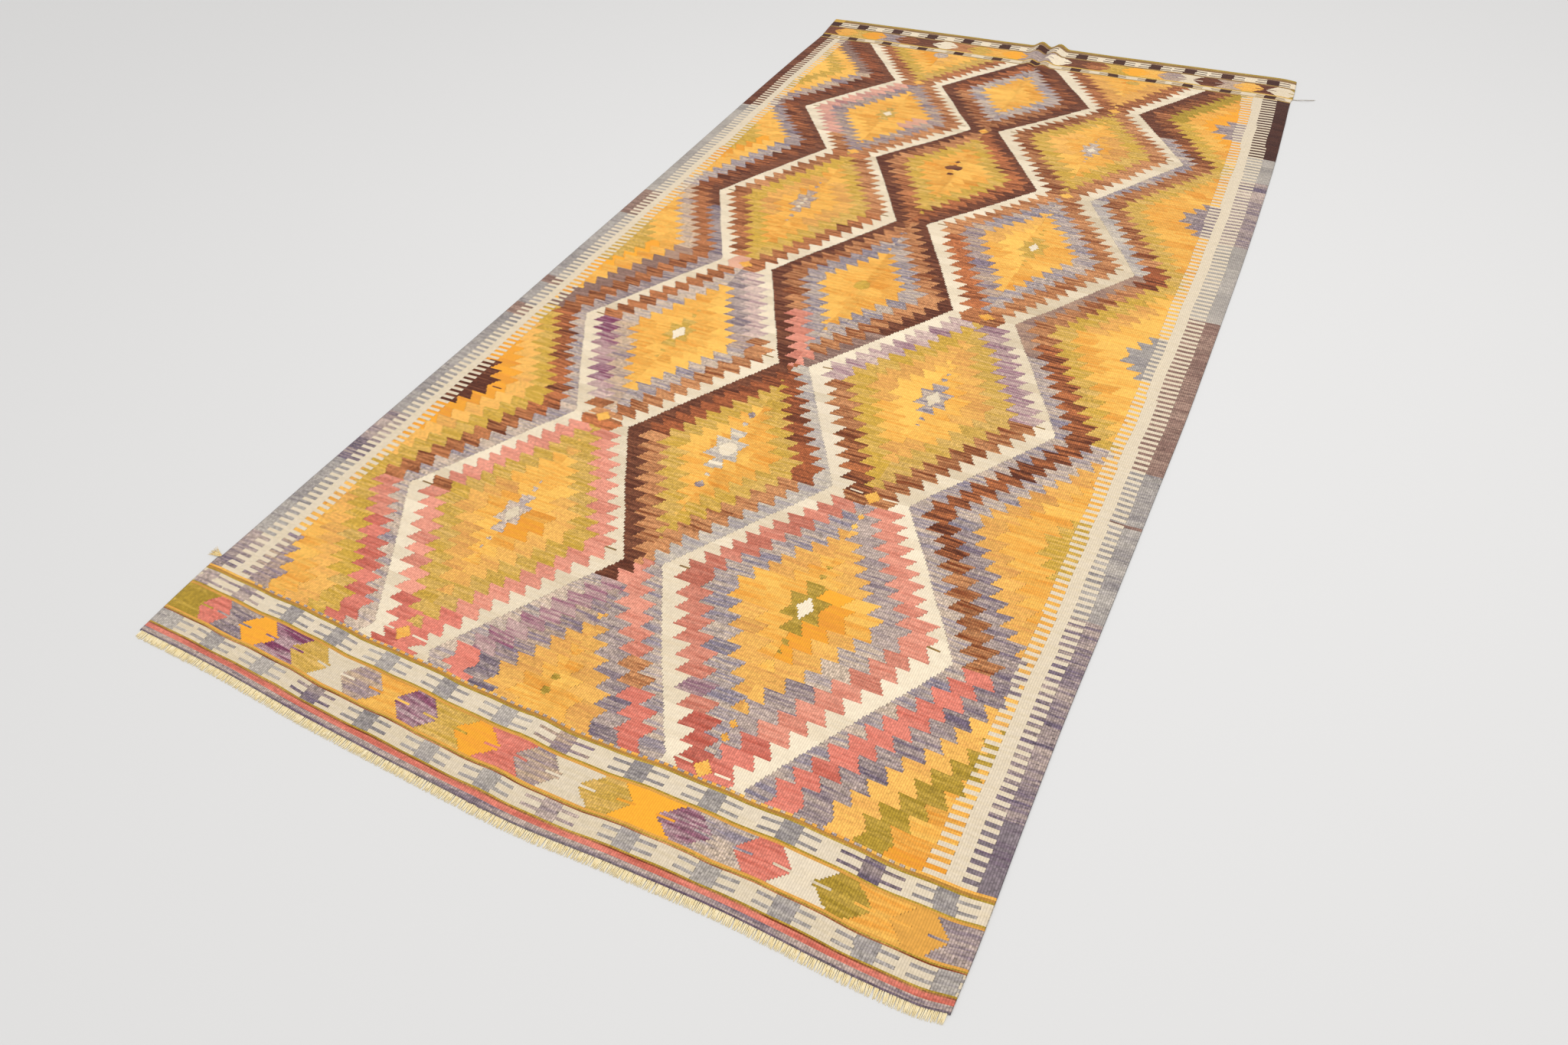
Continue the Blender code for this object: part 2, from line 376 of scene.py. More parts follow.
@dataclass(frozen=True)
class Teeth:
    """For each row of the chart, where its tooth stands on one zigzag line.

    Attributes:
        lozenge: Number of the lozenge that the row runs through.
        key: A number for the tooth that no other tooth of the line has.
        middle: Place along the rug of the tooth's middle, in mm.
        base: X of the line where the tooth starts.
        lean: How far the tooth's edge has leant outwards by that row, in mm.
        is_tip: Whether it is the row at the lozenges' widest place.
    """

    lozenge: Array
    key: Array
    middle: Array
    base: Array
    lean: Array
    is_tip: Array


@dataclass(frozen=True)
class Patch:
    """A stretch of one ring that was woven in another yarn, by where its teeth lie along the rug in mm."""

    ring: int
    side: Side
    start: float
    end: float
    dye: Dye


@dataclass(frozen=True)
class Lozenge:
    """One lozenge: the yarns of its rings from the outside in, and its odd patches."""

    rings: tuple[Dye, ...]
    patches: tuple[Patch, ...] = ()


def lozenges(notes: str) -> tuple[Lozenge, ...]:
    """Reads a column's lozenges from notes such as a weaver makes.

    Args:
        notes: For each lozenge, from the near end on, the yarns of its rings from the outside in. Then, after
            a colon and with commas between them, its patches: ring, side, start and end in mm, and yarn. A
            semicolon ends each lozenge but the last.

    Returns:
        The lozenges.
    """
    found = []
    for note in notes.split(";"):
        rings, _, rest = note.partition(":")
        patches = []
        for patch in rest.split(",") if rest else []:
            ring, side, start, end, dye = patch.split()
            patches.append(Patch(int(ring), Side[side.upper()], float(start), float(end), Dye[dye.upper()]))
        found.append(Lozenge(yarns(rings), tuple(patches)))
    return tuple(found)


@dataclass
class LoomChart:
    """The weaver's graph paper: the yarn of each warp rib in each row.

    Attributes:
        shape: How the cloth lies.
        lines: Places along the rug of the lines between the rows, in mm.
        random: Numbers for what no weaver repeats exactly.
        dye: The yarn in each square.
        shade: How much lighter or darker than its dye lot each square's yarn is, mostly from -1 to 1.
        x: X of each square's middle in mm.
        y: Y of each square's middle in mm.
        along: Place along the rug of each row's middle in mm, as a column.
    """

    shape: ClothShape
    lines: Array
    random: np.random.Generator
    dye: Array = field(init=False)
    shade: Array = field(init=False)
    x: Array = field(init=False)
    y: Array = field(init=False)
    along: Array = field(init=False)

    def __post_init__(self) -> None:
        """Lays out squares of cream and works out where each one's middle lies."""
        self.dye = np.full((len(self.lines) - 1, WARP_COUNT), Dye.CREAM, np.int16)
        self.shade = np.zeros(self.dye.shape)
        self.along = ((self.lines[1:] + self.lines[:-1]) / 2)[:, None]
        self.x, self.y = self.shape.lay(self.columns + 0.5, self.along)

    def from_selvedge(self, side: Side) -> Array:
        """Distance in mm of each square's middle from one selvedge."""
        left, right = self.shape.selvedges(self.along)
        return self.x - left if side is Side.LEFT else right - self.x

    @property
    def rows(self) -> Array:
        """Number of each row, as a column that can be set against the squares."""
        return np.arange(len(self.dye))[:, None]

    @property
    def columns(self) -> Array:
        """Number of each warp rib, as a row that can be set against the squares."""
        return np.arange(WARP_COUNT)[None, :]

    def rows_from(self, first: int, count: int) -> Array:
        """Which rows belong to so many from the first on, as a column that can be set against the squares."""
        return (self.rows >= first) & (self.rows < first + count)

    def row_at(self, x: float, y: float) -> int:
        """The row line nearest to a place on the rug.

        Args:
            x: X of the place in mm.
            y: Y of the place in mm.

        Returns:
            The line's number. A place outside the rug gets a number outside the rows.
        """
        along = float(self.shape.find(x, y)[1])
        if along < 0:
            return round(along / WEAVE_STEP)
        if along > RUG_LENGTH:
            return len(self.lines) - 1 + round((along - RUG_LENGTH) / WEAVE_STEP)
        return int(np.argmin(np.abs(self.lines - along)))

    def weave(self, mask: Array, dye: Dye | Array, shade: Array | None = None) -> None:
        """Puts a yarn into the masked squares.

        Args:
            mask: Which squares, or which rows as a column.
            dye: The yarn, or one for each row as a column.
            shade: How much lighter or darker it is, the same way. One chance value if left out.
        """
        shade = self.random.normal() * BATCH_SPREAD if shade is None else shade
        mask = np.broadcast_to(mask, self.dye.shape)
        self.dye[mask] = np.broadcast_to(dye, self.dye.shape)[mask]
        self.shade[mask] = np.broadcast_to(shade, self.dye.shape)[mask]

    def weave_lozenge(self, x: float, y: float, half: tuple[float, float], dye: Dye) -> None:
        """Weaves a small lozenge about X and Y: where the shares of its half sizes add up to less than 1."""
        self.weave(abs(self.x - x) / half[0] + abs(self.y - y) / half[1] < 1, dye)

    def weave_disc(self, x: float, y: float, half: tuple[float, float], dye: Dye) -> None:
        """Weaves a small round or oval disc about X and Y."""
        self.weave(((self.x - x) / half[0]) ** 2 + ((self.y - y) / half[1]) ** 2 < 1, dye)

    def weave_line(self, start: float, end: float, y: float, dye: Dye) -> None:
        """Weaves a line one row high.

        Args:
            start: X of its one end in mm.
            end: X of its other end.
            y: Y of the line, roughly.
            dye: Its yarn.
        """
        row = self.row_at((start + end) / 2, y)
        low, high = sorted((start, end))
        self.weave((self.rows == row) & (self.x > low) & (self.x < high), dye)

    def straight(self, line: ZigzagLine) -> Array:
        """X of a zigzag line in each row, straight from turn to turn."""
        turns = [self.row_at(x, y) for x, y in zip(line.across, line.along)]
        return np.interp(np.arange(len(self.dye)) + 0.5, turns, line.across)

    def teeth(self, line: ZigzagLine, side: Side, late: int) -> Teeth:
        """Counts the teeth of the lozenges that lie beside a zigzag line.

        Formula in words: each straight run of the line has twelve teeth, counted from the lozenge's widest
        row to its narrowest, and a run too short for six has three. A tooth starts from where the line is at
        its first row.

        Args:
            line: The zigzag line.
            side: LEFT if the line is the lozenges' left outline, RIGHT if it is their right one.
            late: How many rows past the outline's own widest row the teeth have theirs.

        Returns:
            The tooth of each row.
        """
        across = np.array(line.across, float)
        turns = np.array([self.row_at(x, y) for x, y in zip(line.across, line.along)])
        is_wide = np.empty(len(across), bool)
        is_wide[1:] = np.diff(across) * side.value > 0
        is_wide[0] = not is_wide[1]
        turns = turns + late * is_wide
        rows = np.arange(len(self.dye))
        run = np.clip(np.searchsorted(turns, rows, side="right") - 1, 0, len(turns) - 2)
        narrowing = is_wide[run]
        wide = np.where(narrowing, run, run + 1)
        narrow = 2 * run + 1 - wide
        length = np.abs(turns[wide] - turns[narrow])
        is_short = length * WEAVE_STEP < TEETH_PER_RUN / 2 * TOOTH_HEIGHT
        count = np.where(is_short, SHORT_RUN_TEETH, TEETH_PER_RUN)
        count = np.where(run == len(turns) - 2, line.last_teeth, count)
        height = length / count
        done = np.where(narrowing, rows - turns[wide], turns[wide] - 1 - rows)
        number = np.clip(np.floor((done + 0.5) / height), 0, count - 1)
        way = np.where(narrowing, 1, -1)
        middle = turns[wide] + way * (number + 0.5) * height
        lozenge = np.searchsorted(turns[1:][~is_wide[1:]], rows, side="right")
        return Teeth(
            lozenge=lozenge,
            key=((lozenge * MOST_TEETH + number) * 2 + narrowing).astype(int),
            middle=np.interp(middle, np.arange(len(self.lines)), self.lines),
            base=across[wide] + (across[narrow] - across[wide]) * number / count,
            lean=TOOTH_SLANT * (done - np.round(number * height)) / height,
            is_tip=narrowing & (done == 0),
        )


@dataclass(frozen=True)
class LozengeColumn:
    """Lozenges one above another, between two zigzag lines or beside one.

    Attributes:
        left: Their left outline, or None where the side border cuts them off.
        right: Their right outline, or None in the same way.
        pitch: Distance across from one ring to the next, in mm.
        lozenges: From the near end to the far one.
        late: How many rows past the outline's own widest row the inner rings have theirs.
        tip_line: Length in mm of the thin line that the first ring's tips draw into the outline's.
        narrowest: Half width in mm below which a ring is left out of a row.
        lozenge_spread: How far chance makes a lozenge's ring lighter or darker.
        tooth_spread: How far it does the same to a tooth.
    """

    left: ZigzagLine | None
    right: ZigzagLine | None
    pitch: float
    lozenges: tuple[Lozenge, ...]
    late: int = 3
    tip_line: float = 0.0
    narrowest: float = 6.0
    lozenge_spread: float = 0.5
    tooth_spread: float = 0.45

    def weave(self, chart: LoomChart) -> None:
        """Weaves each half of the lozenges, ring by ring from the outside in."""
        if self.left and self.right:
            middle = (chart.straight(self.left) + chart.straight(self.right))[:, None] / 2
        else:
            middle = np.array(-FAR_OFF if self.left is None else FAR_OFF)
        if self.left:
            self.weave_half(chart, Side.LEFT, self.left, middle)
        if self.right:
            self.weave_half(chart, Side.RIGHT, self.right, middle)

    def weave_half(self, chart: LoomChart, side: Side, line: ZigzagLine, middle: Array) -> None:
        """Weaves the half of the lozenges next to one outline.

        Formula in words: ring n starts n pitches inside the outline at the foot of each tooth. From there its
        edge leans outwards as the outline draws in, until the next tooth jumps back. Ring 0 starts at the
        outline itself, which is straight.

        Args:
            chart: The chart to weave into.
            side: Which half.
            line: Its outline.
            middle: X of the lozenges' middle in each row, as a column.
        """
        inward = -side.value
        half = inward * (middle - chart.x) > 0
        teeth = chart.teeth(line, side, self.late)
        keys = 2 * MOST_LOZENGES * MOST_TEETH
        for ring in range(max(len(lozenge.rings) for lozenge in self.lozenges)):
            edge = chart.straight(line)
            if ring:
                edge = teeth.base + inward * (ring * self.pitch - teeth.lean)
                stray = chart.random.integers(-1, 2, keys) * chart.random.integers(0, 2, keys)
                edge = edge + stray[teeth.key] * WARP_PITCH
            dyes = self.ring_dyes(teeth, ring, side)
            shades = chart.random.normal(size=MOST_LOZENGES)[teeth.lozenge] * self.lozenge_spread
            shades = shades + chart.random.normal(size=keys)[teeth.key] * self.tooth_spread
            wide_enough = (inward * (middle - edge[:, None]) > self.narrowest) & (dyes >= 0)[:, None]
            inside = half & (inward * (chart.x - edge[:, None]) > 0) & wide_enough
            chart.weave(inside, dyes[:, None], shades[:, None])
            if ring == 1 and self.tip_line:
                beyond = inward * (edge[:, None] - chart.x)
                tip = half & teeth.is_tip[:, None] & (beyond > 0) & (beyond < self.tip_line)
                chart.weave(tip, Dye.TAN, 0.0)

    def ring_dyes(self, teeth: Teeth, ring: int, side: Side) -> Array:
        """The yarn of one ring in each row.

        Args:
            teeth: The tooth of each row.
            ring: The ring's number, from the outside in.
            side: Which half of the lozenges.

        Returns:
            The yarns, with -1 where the lozenge has no such ring.
        """
        table = np.array([loz.rings[ring] if ring < len(loz.rings) else -1 for loz in self.lozenges])
        number = np.minimum(teeth.lozenge, len(self.lozenges) - 1)
        dyes = table[number]
        for place, lozenge in enumerate(self.lozenges):
            for patch in lozenge.patches:
                if patch.ring == ring and patch.side in (side, Side.BOTH):
                    in_patch = (teeth.middle >= patch.start) & (teeth.middle < patch.end)
                    dyes[in_patch & (number == place)] = patch.dye
        return dyes


@dataclass(frozen=True)
class NeckKnot:
    """The small gold lozenge where two lozenges meet, with a thin slit line on each side."""

    x: float
    y: float
    slit: Dye = Dye.CREAM
    half: tuple[float, float] = (19.0, 19.0)
    slit_from: float = 22.0
    slit_length: float = 33.0

    def weave(self, chart: LoomChart) -> None:
        """Weaves the two slit lines and the lozenge between them."""
        for way in (-1, 1):
            start = self.x + way * self.slit_from
            chart.weave_line(start, start + way * self.slit_length, self.y, self.slit)
        chart.weave_lozenge(self.x, self.y, self.half, Dye.GOLD)


@dataclass(frozen=True)
class Star:
    """The serrated star in a lozenge's heart: two teeth and two dots each way about a white lozenge.

    Attributes:
        x: X of its middle in mm.
        y: Y of its middle in mm.
        dye: Its yarn.
        size: How wide and how tall it is, as shares of the common star.
        white: Half sizes in mm of the white lozenge.
    """

    x: float
    y: float
    dye: Dye
    size: tuple[float, float] = (1.0, 1.0)
    white: tuple[float, float] = (18.0, 29.0)

    def weave(self, chart: LoomChart) -> None:
        """Weaves the star, whose half width is read off by how far up or down a row is, then the lozenge."""
        steps = (0, 28, 28.1, 57, 57.1, 72, 72.1, 83, 83.1, 98, 98.1, 106, 106.1)
        halves = (24, 38, 8, 21, 0, 0, 3, 8, 0, 0, 2, 5, 0)
        half = np.interp(abs(chart.y - self.y) / self.size[1], steps, halves) * self.size[0]
        chart.weave(abs(chart.x - self.x) < half, self.dye)
        chart.weave_lozenge(self.x, self.y, self.white, Dye.CREAM)


@dataclass(frozen=True)
class HalfStar:
    """Half a serrated lozenge that grows out of a side border into the field.

    Attributes:
        y: Y of its middle in mm.
        teeth: Teeth each way.
        reach: How far its longest tooth reaches into the field, in mm.
        dye: Its yarn.
        least: How far its foot reaches everywhere, in mm.
    """

    y: float
    teeth: int
    reach: float
    dye: Dye
    least: float = 5.0

    def weave(self, chart: LoomChart, inward: Array) -> None:
        """Weaves it.

        Args:
            chart: The chart to weave into.
            inward: Each square's distance in mm from the border's inner edge.
        """
        off = abs(chart.y - self.y) / TOOTH_HEIGHT
        number = np.floor(off)
        reach = self.reach * (1 - number / self.teeth) - TOOTH_SLANT * (1 - off + number)
        chart.weave((number < self.teeth) & (inward < np.maximum(reach, self.least)), self.dye)


@dataclass(frozen=True)
class SideBorder:
    """One selvedge's border: a band, a comb, a cream stripe and a second comb.

    Attributes:
        side: Which selvedge.
        stations: Places along the rug in mm where the widths are known.
        widths: Where band, comb, cream and second comb end there, in mm from the selvedge.
        ends: Places along the rug in mm where the band's yarn changes.
        dyes: The band's yarns, one more than the changes.
        stars: Half stars that grow out of it.
        bar_pitch: Rows from one bar of a comb to the next.
        bar_rows: Rows of one bar.
        batch_rows: Rows woven with one batch of the band's yarn.
        batches: The most batches that chance allows for.
        spread: How far chance makes a batch lighter or darker.
    """

    side: Side
    stations: tuple[float, ...]
    widths: tuple[tuple[float, ...], ...]
    ends: tuple[float, ...]
    dyes: tuple[Dye, ...]
    stars: tuple[HalfStar, ...]
    bar_pitch: int = 4
    bar_rows: int = 2
    batch_rows: int = 9
    batches: int = 200
    spread: float = 0.6

    def weave(self, chart: LoomChart, first: int, last: int) -> None:
        """Weaves the border. The second comb's bars keep the field's yarns.

        Args:
            chart: The chart to weave into.
            first: Its first row.
            last: The row after its last one.
        """
        away = chart.from_selvedge(self.side)
        band, comb, cream, inner = (np.interp(chart.along, self.stations, width) for width in self.widths)
        for star in self.stars:
            star.weave(chart, away - inner)
        rows = chart.rows_from(first, last - first)
        is_bar = chart.rows % self.bar_pitch < self.bar_rows
        dyes = np.array(self.dyes)[np.searchsorted(self.ends, chart.along)]
        shades = chart.random.normal(size=self.batches)[chart.rows // self.batch_rows] * self.spread
        chart.weave(rows & (away < inner) & ~is_bar, Dye.IVORY, 0.0)
        chart.weave(rows & (away < cream), Dye.IVORY, 0.0)
        chart.weave(rows & (away < comb) & is_bar, dyes, shades)
        chart.weave(rows & (away < band), dyes, shades)


@dataclass(frozen=True)
class Stripe:
    """A plain stripe across the whole rug, by the height of each of its rows in mm."""

    dye: Dye
    heights: tuple[float, ...]

    def weave(self, chart: LoomChart, first: int) -> None:
        """Weaves the stripe from row first on."""
        chart.weave(chart.rows_from(first, len(self.heights)), self.dye)


@dataclass(frozen=True)
class DashStripe:
    """A one-row stripe in which two yarns take turns, each for one dash of so many mm, between two ends.

    Attributes:
        dyes: The two yarns. The second one also runs on past the ends.
        heights: Height of the row in mm.
        dash: Length of a dash in mm.
        ends: X of the first and of the last dash in mm.
        stray: How many dashes the turns stray by, on a slow sine wave.
        stray_length: Length in mm of one radian of that wave.
    """

    dyes: tuple[Dye, Dye]
    heights: tuple[float, ...]
    dash: float
    ends: tuple[float, float] = (112.0, 1530.0)
    stray: float = 0.8
    stray_length: float = 61.0

    def weave(self, chart: LoomChart, first: int) -> None:
        """Weaves the dashes.

        Args:
            chart: The chart to weave into.
            first: The row.
        """
        rows = chart.rows == first
        turn = np.floor(chart.x / self.dash + self.stray * np.sin(chart.x / self.stray_length)) % 2 == 0
        turn = turn & (chart.x > self.ends[0]) & (chart.x < self.ends[1])
        chart.weave(rows & turn, self.dyes[0])
        chart.weave(rows & ~turn, self.dyes[1])


@dataclass(frozen=True)
class BlockBand:
    """A band of upright blocks with thin bars reaching out of both sides, on a plain ground.

    Attributes:
        ground: Its yarn.
        heights: Height of each row in mm.
        middles: X of each block's middle in mm.
        block: The blocks' yarn.
        bar: The bars' yarn.
        bar_rows: Which rows have bars.
        half: Half width of a block in mm.
        reach: How far a bar reaches out of its block in mm.
        others: Numbers of the blocks of another yarn, and that yarn.
        stray: How far chance makes a bar longer or shorter in mm.
    """

    ground: Dye
    heights: tuple[float, ...]
    middles: tuple[float, ...]
    block: Dye
    bar: Dye
    bar_rows: tuple[int, ...]
    half: float = 19.0
    reach: float = 34.0
    others: tuple[tuple[int, Dye], ...] = ()
    stray: float = 1.5

    def weave(self, chart: LoomChart, first: int) -> None:
        """Weaves the ground, then each block with its bars.

        Args:
            chart: The chart to weave into.
            first: Its first row.
        """
        rows = chart.rows_from(first, len(self.heights))
        chart.weave(rows, self.ground)
        bars = np.isin(chart.rows, np.array(self.bar_rows) + first)
        others = dict(self.others)
        for number, middle in enumerate(self.middles):
            dye = others.get(number, self.block)
            stray = chart.random.normal() * self.stray
            away = abs(chart.x - middle)
            shade = chart.random.normal() * BATCH_SPREAD
            bar = dye if number in others or self.bar is self.block else self.bar
            chart.weave(bars & (away < self.half + self.reach + stray), bar, shade)
            chart.weave(rows & (away < self.half), dye, shade)


@dataclass(frozen=True)
class HexagonBand:
    """A band of hexagons that reach from edge to edge of it, on grounds that change from each to the next.

    Attributes:
        heights: Height of each row in mm.
        middles: X of each hexagon's middle in mm.
        dyes: Ground, hexagon, ground and so on, from the left selvedge.
        tip: Half width at the tips.
        flat: Half width at the flat top and foot.
        slit: Length of the thin line that each ground draws into a hexagon's tip.
        tips: Numbers of the hexagons with another half width at the tips, and that width.
        stray: How far chance makes the flat half width wider or narrower.
    """

    heights: tuple[float, ...]
    middles: tuple[float, ...]
    dyes: tuple[Dye, ...]
    tip: float = 53.0
    flat: float = 18.0
    slit: float = 34.0
    tips: tuple[tuple[int, float], ...] = ()
    stray: float = 4.0

    def weave(self, chart: LoomChart, first: int) -> None:
        """Weaves the grounds, then the hexagons over their meeting lines, then the slits.

        Args:
            chart: The chart to weave into.
            first: Its first row.
        """
        count = len(self.heights)
        place = chart.rows - first
        rows = chart.rows_from(first, count)
        borders = np.array(self.middles)
        for number, ground in enumerate(self.dyes[::2]):
            low = borders[number - 1] if number else -FAR_OFF
            high = borders[number] if number < len(borders) else FAR_OFF
            chart.weave(rows & (chart.x > low) & (chart.x <= high), ground)
        off_middle = np.abs(place - (count - 1) / 2) / ((count - 1) / 2)
        for number, middle in enumerate(self.middles):
            flat = self.flat + chart.random.uniform(-self.stray, self.stray)
            tip = dict(self.tips).get(number, self.tip)
            half = tip - (tip - flat) * off_middle
            chart.weave(rows & (abs(chart.x - middle) < half), self.dyes[2 * number + 1])
            for way, ground in ((-1, self.dyes[2 * number]), (1, self.dyes[2 * number + 2])):
                away = (chart.x - middle) * way
                slit = (place == count // 2) & (away > tip - self.slit) & (away < tip + 1)
                chart.weave(slit, ground)


@dataclass(frozen=True)
class EndBorder:
    """One end's border: its bands in order towards the far end."""

    bands: tuple[Stripe | DashStripe | BlockBand | HexagonBand, ...]

    def heights(self) -> list[float]:
        """Height of each of its rows in mm."""
        return [height for band in self.bands for height in band.heights]

    def weave(self, chart: LoomChart, first: int) -> None:
        """Weaves band after band from row first on."""
        for band in self.bands:
            band.weave(chart, first)
            first += len(band.heights)


# ---------------------------------------------------------------- this rug's pattern

HEXAGON_ROWS = (4.2,) * 15
LOWER_BLOCK_ROWS = (6.5, 5.75, 4.75, 4.75, 5.75, 6.5)
UPPER_BLOCK_ROWS = (6.5, 5.5, 5.5, 5.5, 5.5, 7.5)

NEAR_BORDER = EndBorder((
    Stripe(Dye.SLATE, (4.0,)),
    Stripe(Dye.GREY_PURPLE, (4.5, 4.0)),
    Stripe(Dye.RED, (4.5, 4.5)),
    Stripe(Dye.BROWN, (2.75,)),
    Stripe(Dye.DARK_OLIVE, (2.75,)),
    BlockBand(
        Dye.IVORY, LOWER_BLOCK_ROWS, (0, 30, 146, 281, 417, 549, 690, 823, 951, 1096, 1240, 1375, 1510, 1634),
        Dye.ASH, Dye.ASH, (1, 4), half=18.0, others=((4, Dye.GREY_PURPLE), (8, Dye.GREY_PURPLE)),
    ),
    Stripe(Dye.BROWN, (2.5,)),
    Stripe(Dye.DARK_OLIVE, (2.5,)),
    Stripe(Dye.OLD_GOLD, (4.0,)),
    HexagonBand(
        HEXAGON_ROWS, (90, 213, 352, 485, 616, 754, 884, 1022, 1169, 1308, 1445, 1570),
        yarns(
            "dark_olive red grey_purple orange purple olive ivory grey_lilac gold purple olive orange red "
            "grey_lilac ivory olive orange purple grey_blue red ivory dark_olive gold old_gold "
            "grey_purple"
        ),
        tips=((0, 40.0), (11, 47.0)),
    ),
    Stripe(Dye.OLD_GOLD, (4.5,)),
    Stripe(Dye.DARK_OLIVE, (3.0,)),
    BlockBand(
        Dye.IVORY, UPPER_BLOCK_ROWS, (6, 111, 245, 364, 497, 635, 772, 899, 1046, 1187, 1327, 1468, 1590),
        Dye.ASH, Dye.ASH, (1, 4), half=17.5,
        others=((0, Dye.GREY_PURPLE), (1, Dye.GREY_PURPLE), (7, Dye.GREY_LILAC), (11, Dye.GREY_PURPLE)),
    ),
    Stripe(Dye.DARK_OLIVE, (3.0,)),
    Stripe(Dye.OLD_GOLD, (5.0,)),
    DashStripe((Dye.GREY_BLUE, Dye.GOLD), (4.5,), 10.0),
))

FAR_BORDER = EndBorder((
    Stripe(Dye.OLIVE, (3.0,)),
    Stripe(Dye.TAN, (3.0,)),
    BlockBand(
        Dye.CREAM, (4.4,) * 5, (34, 139, 273, 408, 546, 686, 822, 966, 1091, 1218, 1335, 1457, 1593),
        Dye.UMBER, Dye.TAN, (1, 3), half=17.0, reach=30.0,
    ),
    Stripe(Dye.OLIVE, (4.0, 4.0)),
    HexagonBand(
        HEXAGON_ROWS, (92, 203, 334, 480, 609, 737, 892, 1022, 1155, 1276, 1393, 1517, 1623),
        yarns(
            "dark_brown gold olive orange grey_purple rust dark_brown cream brown olive gold orange "
            "grey_purple cream dark_brown rust olive orange gold grey_lilac cream dark_brown grey_lilac "
            "gold dark_brown cream dark_olive"
        ),
    ),
    Stripe(Dye.TAN, (4.5, 4.5)),
    BlockBand(
        Dye.CREAM, UPPER_BLOCK_ROWS, (24, 132, 269, 406, 543, 683, 817, 958, 1087, 1208, 1320, 1441, 1584),
        Dye.UMBER, Dye.UMBER, (1, 4),
    ),
    Stripe(Dye.MAUVE, (3.0,)),
    Stripe(Dye.TAN, (4.6,) * 3),
    Stripe(Dye.DARK_OLIVE, (4.6, 4.6)),
))

LINE_A = ZigzagLine(
    (369, 407, 206, 405, 206, 409, 220, 409, 214, 420, 214),
    (145, 215, 553, 901, 1241, 1599, 1930, 2277, 2526, 2808, 3069),
)
LINE_B = ZigzagLine(
    (591, 551, 761, 551, 761, 560, 776, 574, 784, 583, 784),
    (135, 205, 549, 898, 1241, 1599, 1953, 2279, 2547, 2816, 3079),
)
LINE_C = ZigzagLine(
    (841, 1071, 841, 1058, 835, 1071, 861, 1088, 867, 1086, 867),
    (-180, 193, 564, 907, 1253, 1605, 1962, 2249, 2564, 2817, 3103), last_teeth=14,
)
LINE_D = ZigzagLine(
    (1450, 1225, 1450, 1228, 1441, 1231, 1446, 1242, 1437, 1240, 1437),
    (-180, 193, 575, 910, 1239, 1602, 1921, 2246, 2545, 2826, 3125), last_teeth=14,
)

LEFT_DIAMONDS = LozengeColumn(LINE_A, LINE_B, 11.8 * WARP_PITCH, lozenges("""
    cream red red;
    cream pink olive peach gold: 1 both 190 300 red, 1 left 553 590 rust, 1 both 872 910 dark_rust,
        4 right 500 560 orange, 3 both 640 760 gold, 3 both 180 330 olive;
    cream rust grey_lilac gold gold: 1 both 900 936 brown, 1 left 1000 1245 plum,
        1 left 1010 1090 purple, 1 left 1190 1245 purple, 1 left 950 1000 lilac, 1 right 960 1300 brown,
        1 right 1300 1560 lilac, 1 left 1565 1610 pale_pink, 2 left 1245 1600 grey_blue,
        2 right 900 1245 grey_blue, 2 right 1300 1560 grey_purple;
    cream rust olive gold gold: 1 left 1590 1632 pale_pink, 1 both 1960 2240 brown,
        3 both 1850 2100 peach;
    cream brown grey_lilac gold gold: 1 left 2385 2775 dusty_pink, 3 right 2500 2570 pale_pink;
    cream rust olive gold orange: 1 both 2800 2850 brown, 4 right 2800 2960 gold,
        4 right 2960 3100 peach
"""), tip_line=25.0)

RIGHT_DIAMONDS = LozengeColumn(LINE_C, LINE_D, 13.1 * WARP_PITCH, lozenges("""
    cream red red;
    cream pink grey_purple peach gold: 1 both 180 300 red, 1 left 343 372 lilac, 1 both 875 915 brown,
        2 left 180 900 grey_blue, 2 right 420 560 grey_blue, 3 both 560 640 gold,
        4 right 470 640 orange;
    cream lilac olive peach gold: 1 both 900 1250 brown, 1 left 900 990 dark_rust, 1 left 990 1100 rust,
        1 left 1570 1610 rust, 1 right 1570 1610 brown, 3 both 1100 1200 gold, 0 left 905 1245 ivory;
    cream brown grey_blue gold gold: 1 both 1600 1640 rust, 1 left 1640 1949 dark_rust,
        2 left 1700 2010 grey_lilac, 3 left 1945 2140 peach;
    cream brown olive gold gold: 3 both 2500 2640 peach, 3 left 2249 2300 peach;
    cream rust peach gold orange
"""), tip_line=25.0)

MIDDLE_DIAMONDS = LozengeColumn(LINE_B, LINE_C, 12 * WARP_PITCH, lozenges("""
    grey_blue pink grey_purple peach gold: 1 left 262 500 plum, 1 left 180 262 red,
        1 right 290 365 brown, 1 right 180 290 red, 0 left 488 640 dark_brown,
        2 left 262 500 grey_lilac;
    dark_brown brown olive gold gold: 0 right 565 1245 pale_grey, 0 right 545 565 rust,
        1 both 905 1245 chestnut;
    dark_brown brown grey_blue gold gold: 0 right 1240 1440 mauve, 1 left 1224 1470 pink,
        1 right 1245 1330 pink;
    dark_brown brown olive gold gold: 1 left 1940 2200 rust, 1 right 1940 2540 dark_rust;
    dark_brown brown grey_blue gold gold: 1 both 2815 3100 dark_rust
"""))

